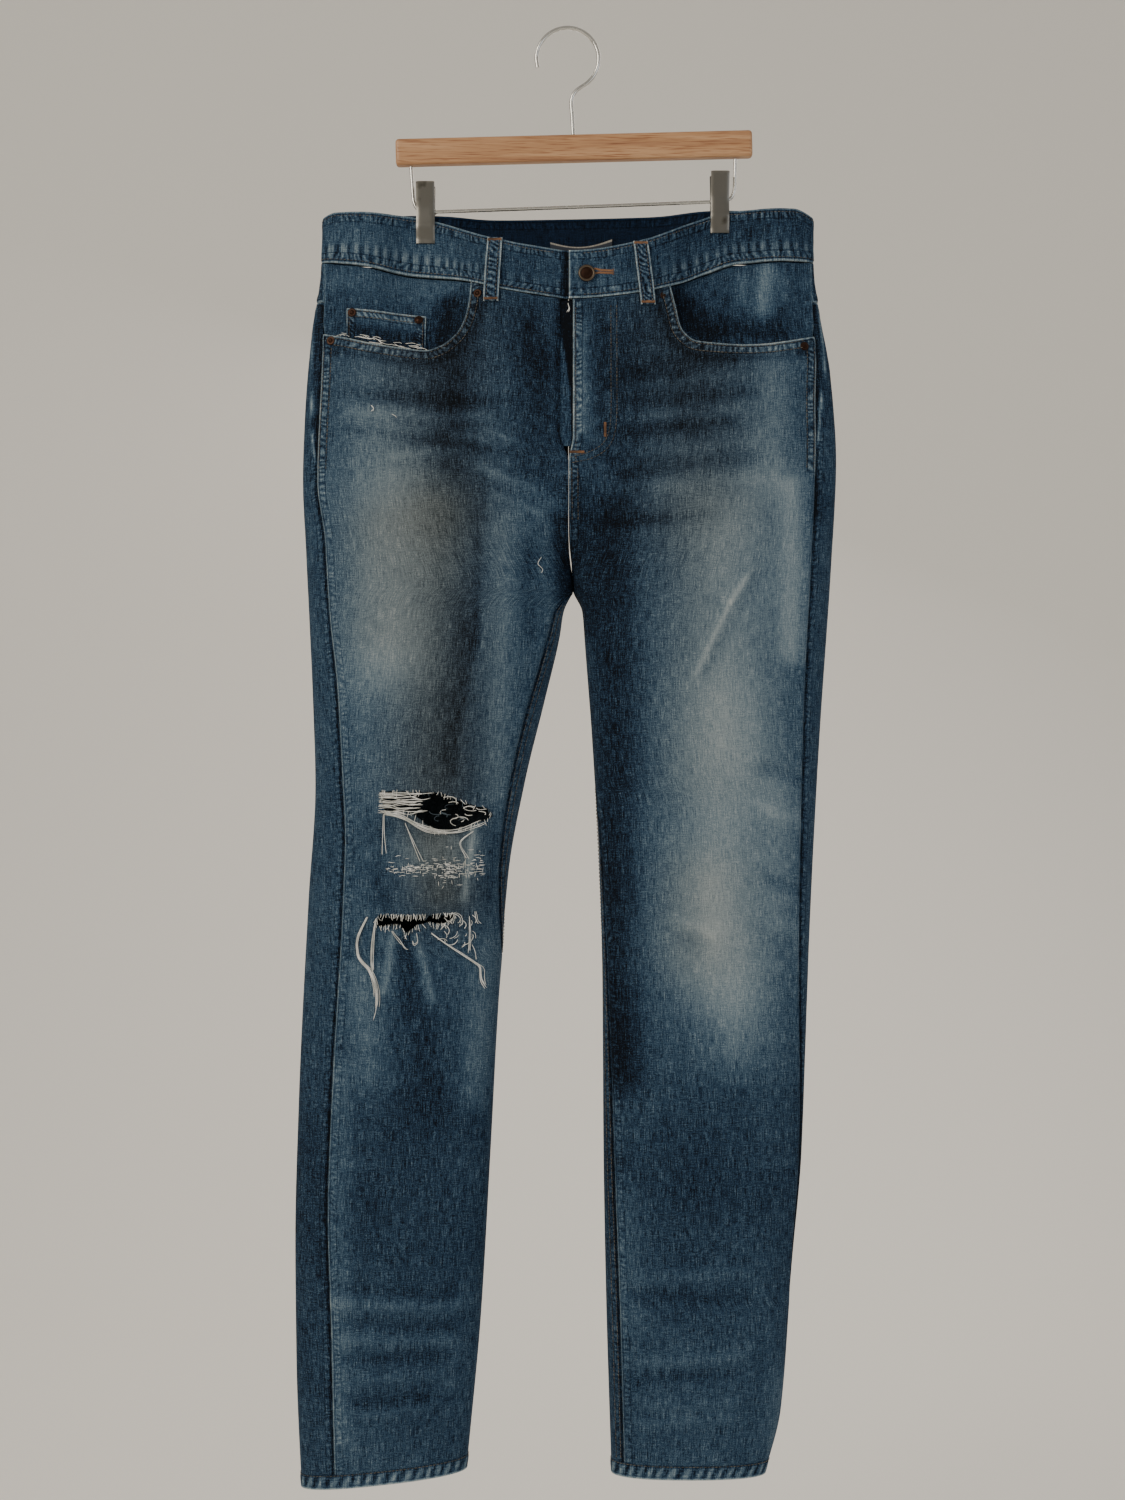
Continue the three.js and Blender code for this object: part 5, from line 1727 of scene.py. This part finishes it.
BUTTON_AT = (16.4, -217.3)
BUTTON_EYE = 4.9  # radius of the button's copper middle
BUTTON_PROFILE = [
    (0, 0), (5.2, 0), (5.2, 0.8), (6.6, 0.9), (7.2, 1.4), (7.3, 2.0), (7.0, 2.6), (6.4, 3.0), (5.8, 3.0),
    (5.3, 2.6), (5.0, 2.1), (4.2, 2.2), (3.0, 2.45), (1.4, 2.6), (0, 2.62),
]
RIVET_PROFILE = [
    (0, 0), (3.7, 0), (3.85, 0.3), (3.7, 0.7), (3.2, 0.85), (2.4, 0.75), (1.9, 0.8), (1.5, 1.2), (0.8, 1.5),
    (0, 1.6),
]
RIVETS = {  # across, height, and how far off the front each one sits
    "rivet_side_r": (-203.5, -273, GAP), "rivet_mouth_r": (-77, -233.5, GAP),
    "rivet_coin_outer": (-185, -249.5, 0.5), "rivet_coin_inner": (-128, -255.5, 1.2),
    "rivet_mouth_l": (83, -235.5, GAP), "rivet_side_l": (203.5, -278, GAP),
}


def make_button():
    """The shank button, turned from its profile, with a copper middle inside its bronze ring."""
    points, quads, ends = lathe(BUTTON_PROFILE, *BUTTON_AT, BAND_OUT + GAP + 0.4, 56)
    made = build("button", points, [quads, ends], [BRONZE, COPPER], sharp=50)
    ride(made, ["button"])
    centre, normal = (part[0] for part in skin(*np.array(BUTTON_AT)[:, None], True))
    middles = np.zeros(3 * len(made.data.polygons), np.float32)
    made.data.polygons.foreach_get("center", middles)
    off = middles.reshape(-1, 3) / MM - centre
    radius = np.linalg.norm(off - (off @ normal)[:, None] * normal, axis=1)
    made.data.polygons.foreach_set("material_index", (radius < BUTTON_EYE).astype(np.int32))


def make_rivets():
    for name, spot in RIVETS.items():
        points, quads, ends = lathe(RIVET_PROFILE, *spot)
        ride(build(name, points, [quads, ends], [COPPER], sharp=60), [name])


def make_buttonhole():
    """The keyhole buttonhole: close copper stitches round a slot with a round eye by the button."""
    t = np.linspace(0, 1, 46)
    slot_x = mix(21.5, 38.5, t)
    slot = -214.6 - 0.06 * (slot_x - 21)
    half = 1.1 + 0.7 * bell(slot_x - 24, 2.5)
    rows = [bartack(slot_x, slot + way * half, True, BAND_OUT + 0.1, 1.9) for way in (1, -1)]
    x = np.full(6, 39.2)
    rows.append(bartack(x, np.linspace(-213.2, -217.8, 6), True, BAND_OUT + 0.1, 1.8, upright=False))
    ride(gather("buttonhole", rows, COPPER_THREAD))


HOOK_WIRE, HOOK_BEND, RAIL_WIRE = 1.75, 27, 1.5
RAIL_HEIGHT = {"r": -158.3, "l": -149.2}


def make_wires():
    """The hook and the clip rail: round wire along a smooth path in the hanger's own plane."""
    angle = np.radians(np.linspace(-50, 196, 13))
    arc = np.stack([HOOK_BEND * np.cos(angle), HOOK_WIRE - HOOK_BEND + HOOK_BEND * np.sin(angle)], -1)
    hook = spline(np.vstack([[(4.9, -91.2), (4.2, -76), (3.4, -62), (7, -53.5)], arc]), 110)
    rail = spline([
        (-135.8, -119), (-134.6, -136), (-133.4, -149), (-129.5, -156.6), (-124, -158.2), (-100, -157.6),
        (5, -153.9), (126, -149.3), (139, -148), (144.3, -141), (145.2, -126), (145.6, -112.4),
    ], 150)
    for name, path, radius in (("hanger_hook", hook, HOOK_WIRE), ("clip_rail", rail, RAIL_WIRE)):
        path = np.stack([path[:, 0], 0 * path[:, 0], path[:, 1]], -1)
        points, quads, ends = tubes(path[None], radius, 16, taper=False)
        ride(build(name, points, [quads, ends], [WIRE], sharp=50), [name])


BAR_LENGTH, BAR_TALL, BAR_DEEP, BAR_EASED = 309, 23, 12, 3.2


def make_bar():
    """The wooden bar: a squared section, x to the sixth plus y to the sixth, carried along its length
    with the edges eased over at both ends."""
    centre, tilt = np.array([5.6, 0, -103.3]), np.radians(1.45)
    s = np.concatenate([[0, 0.15, 0.5, 1.1, 2.0, BAR_EASED], np.linspace(5, BAR_LENGTH - 5, 60)])
    s = np.concatenate([s, BAR_LENGTH - s[5::-1]])
    edge = np.minimum(np.minimum(s, BAR_LENGTH - s) / BAR_EASED, 1)
    shrink = (1 - (1 - edge) ** 2) ** 0.5
    angle = np.linspace(0, 2 * np.pi, 48, endpoint=False)
    squared = lambda value: np.sign(value) * np.abs(value) ** 0.36
    y = (BAR_DEEP / 2 - 2.2 * (1 - shrink))[:, None] * squared(np.cos(angle))[None]
    z = (BAR_TALL / 2 - 2.2 * (1 - shrink))[:, None] * squared(np.sin(angle))[None]
    x = (s - BAR_LENGTH / 2)[:, None] + 0 * y
    cos, sin = np.cos(tilt), np.sin(tilt)
    points = np.stack([x * cos - z * sin, y, x * sin + z * cos], -1) + centre
    rings, around = x.shape
    ends = np.stack([np.arange(around)[::-1], (rings - 1) * around + np.arange(around)])
    faces = [ring_quads(rings, around), ends]
    made = build("hanger_bar", points.reshape(-1, 3), faces, [make_beech()], sharp=35)
    ride(made, ["hanger_bar"])


def make_clips():
    """Each clip: two bent plates, whose profile is carried across, and a spring on the rail."""
    jaw = BAND_IN + BAND_OUT + 0.2 + GAP
    profile = [
        (9, 24), (8.2, 22), (jaw + 1.4, 7), (jaw + 0.6, 0), (jaw + 1.3, -8), (jaw + 2, -14), (jaw, -24),
        (jaw + 0.4, -28),
    ]
    wide, thick = 16, 1.2
    path = spline(profile, 60)
    u = np.linspace(-0.5, 0.5, 15)[None]
    curl_in = 0.9 * np.abs(2 * u) ** 6
    for key, at in CLIPS.items():
        for name, sign in (("front", -1), ("back", 1)):
            x = at - sign * u * wide * np.ones((60, 1))
            y = sign * (path[:, :1] + thick - curl_in * 0.8)
            z = RAIL_HEIGHT[key] + path[:, 1:] + 0 * u
            uv = np.stack([x * MM, z * MM], -1)
            grid = np.stack([x, y, z], -1)
            made = wall(f"clip_{name}_{key}", grid, 0.0, thick, [NICKEL, NICKEL], uv, {})
            ride(made, [f"clip_{name}_{key}"])
        make_spring(key, at + (7 if key == "r" else -3), RAIL_HEIGHT[key] + 0.1)


def make_spring(key, at, height):
    """A clip's spring: five and a half turns of fine wire coiled about the rail."""
    steps, sides, turn_radius, wire_radius = 160, 8, 2.35, 0.38
    tilt = np.arctan2(RAIL_HEIGHT["l"] - RAIL_HEIGHT["r"], CLIPS["l"] - CLIPS["r"])
    way, lift = np.array([np.cos(tilt), 0, np.sin(tilt)]), np.array([-np.sin(tilt), 0, np.cos(tilt)])
    turns = np.linspace(0, 2 * np.pi * 5.5, steps)[:, None]
    axis = np.array([at, 0, height]) + np.linspace(-2.2, 2.2, steps)[:, None] * way
    coil = axis + turn_radius * (np.cos(turns) * lift + np.sin(turns) * np.array([0, 1.0, 0]))
    ring = np.linspace(0, 2 * np.pi, sides + 1)[None, :-1, None]
    outward = unit(coil - axis)
    other = np.cross(unit(np.gradient(coil, axis=0)), outward)
    points = coil[:, None] + wire_radius * (np.cos(ring) * outward[:, None] + np.sin(ring) * other[:, None])
    ends = np.stack([np.arange(sides)[::-1], (steps - 1) * sides + np.arange(sides)])
    faces = [ring_quads(steps, sides), ends]
    made = build(f"clip_spring_{key}", points.reshape(-1, 3), faces, [WIRE], sharp=60)
    ride(made, [f"clip_spring_{key}"])


# ---------------------------------------------------------------- the object

cloth = {}
for key in ("r", "l"):
    cloth[f"leg_front_{key}"] = make_leg_front(key)
    cloth[f"leg_back_{key}"] = make_leg_back(key)
    cloth[f"yoke_{key}"] = make_yoke(key)
    cloth[f"pocket_facing_{key}"] = make_facing(key)
    cloth[f"back_pocket_{key}"] = make_back_pocket(key)
    cloth[f"hem_{key}"] = make_hem(key)
cloth["waistband"] = make_waistband()
cloth["coin_pocket"] = make_coin_pocket()
cloth["fly_shield"] = make_fly_shield()
for name in LOOPS:
    cloth[name] = make_belt_loop(name)
cloth["waist_label"] = make_waist_label()

for name, piece in cloth.items():
    ride(piece, [name])

make_stitching()
make_fray()
make_button()
make_rivets()
make_buttonhole()
make_wires()
make_bar()
make_clips()

# ---------------------------------------------------------------- floor, light and camera


def make_backdrop():
    """A pale matt floor well below the hems that curves up, in a quarter circle, to a far wall."""
    made, tree = material("pale_matt_paint")
    surface(tree, Base_Color=linear("#f1eee8"), Roughness=0.9)
    turned = np.radians(np.linspace(0, 90, 25))
    depth = np.concatenate([[-9, 0], 2.0 + 1.4 * np.sin(turned), [3.4]])
    height = np.concatenate([[-1.7, -1.7], -0.3 - 1.4 * np.cos(turned), [6]])
    across = np.array([-9.0, 9.0])
    points = np.stack(np.broadcast_arrays(across[None], depth[:, None], height[:, None]), -1)
    row = np.arange(len(depth) - 1) * 2
    quads = np.stack([row, row + 1, row + 3, row + 2], -1)
    build("backdrop", points.reshape(-1, 3) / MM, [quads], [made], sharp=80)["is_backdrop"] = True


def make_light(name, place, aim, size, power, colour):
    light = bpy.data.lights.new(name, "AREA")
    light.shape = "RECTANGLE"
    light.size, light.size_y = size
    light.energy = power
    light.color = linear(colour)[:3]
    made = bpy.data.objects.new(name, light)
    made.location = place
    way = np.array(aim) - np.array(place)
    made.rotation_euler = mathutils.Vector(way).to_track_quat("-Z", "Y").to_euler()
    bpy.context.scene.collection.objects.link(made)


make_backdrop()
make_light("window", (-2.2, -2.4, 0.9), (0, 0, -0.6), (1.6, 2.2), 75, "#fff6ea")
make_light("fill", (2.6, -2.2, -0.2), (0, 0, -0.7), (2.0, 2.0), 22, "#eaf2ff")
make_light("rear", (0.6, 2.8, 1.0), (0, 0, -0.6), (2.4, 1.6), 40, "#fff8f0")

world = bpy.data.worlds.new("studio")
bpy.context.scene.world = world
world.use_nodes = True
world.node_tree.nodes["Background"].inputs["Color"].default_value = linear("#c9c5bd")
world.node_tree.nodes["Background"].inputs["Strength"].default_value = 0.75

lens = bpy.data.cameras.new("camera")
camera = bpy.data.objects.new("camera", lens)
camera.location = (-0.00434, -1.8, -0.625)
camera.rotation_euler = (np.pi / 2, 0, 0)
lens.angle = np.radians(39.76)
lens.clip_start, lens.clip_end = 0.05, 60
bpy.context.scene.collection.objects.link(camera)
bpy.context.scene.camera = camera

boxes = {"cad": CAD_BOX, "visual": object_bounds()}
{name: [list(corner) for corner in box] for name, box in boxes.items()}
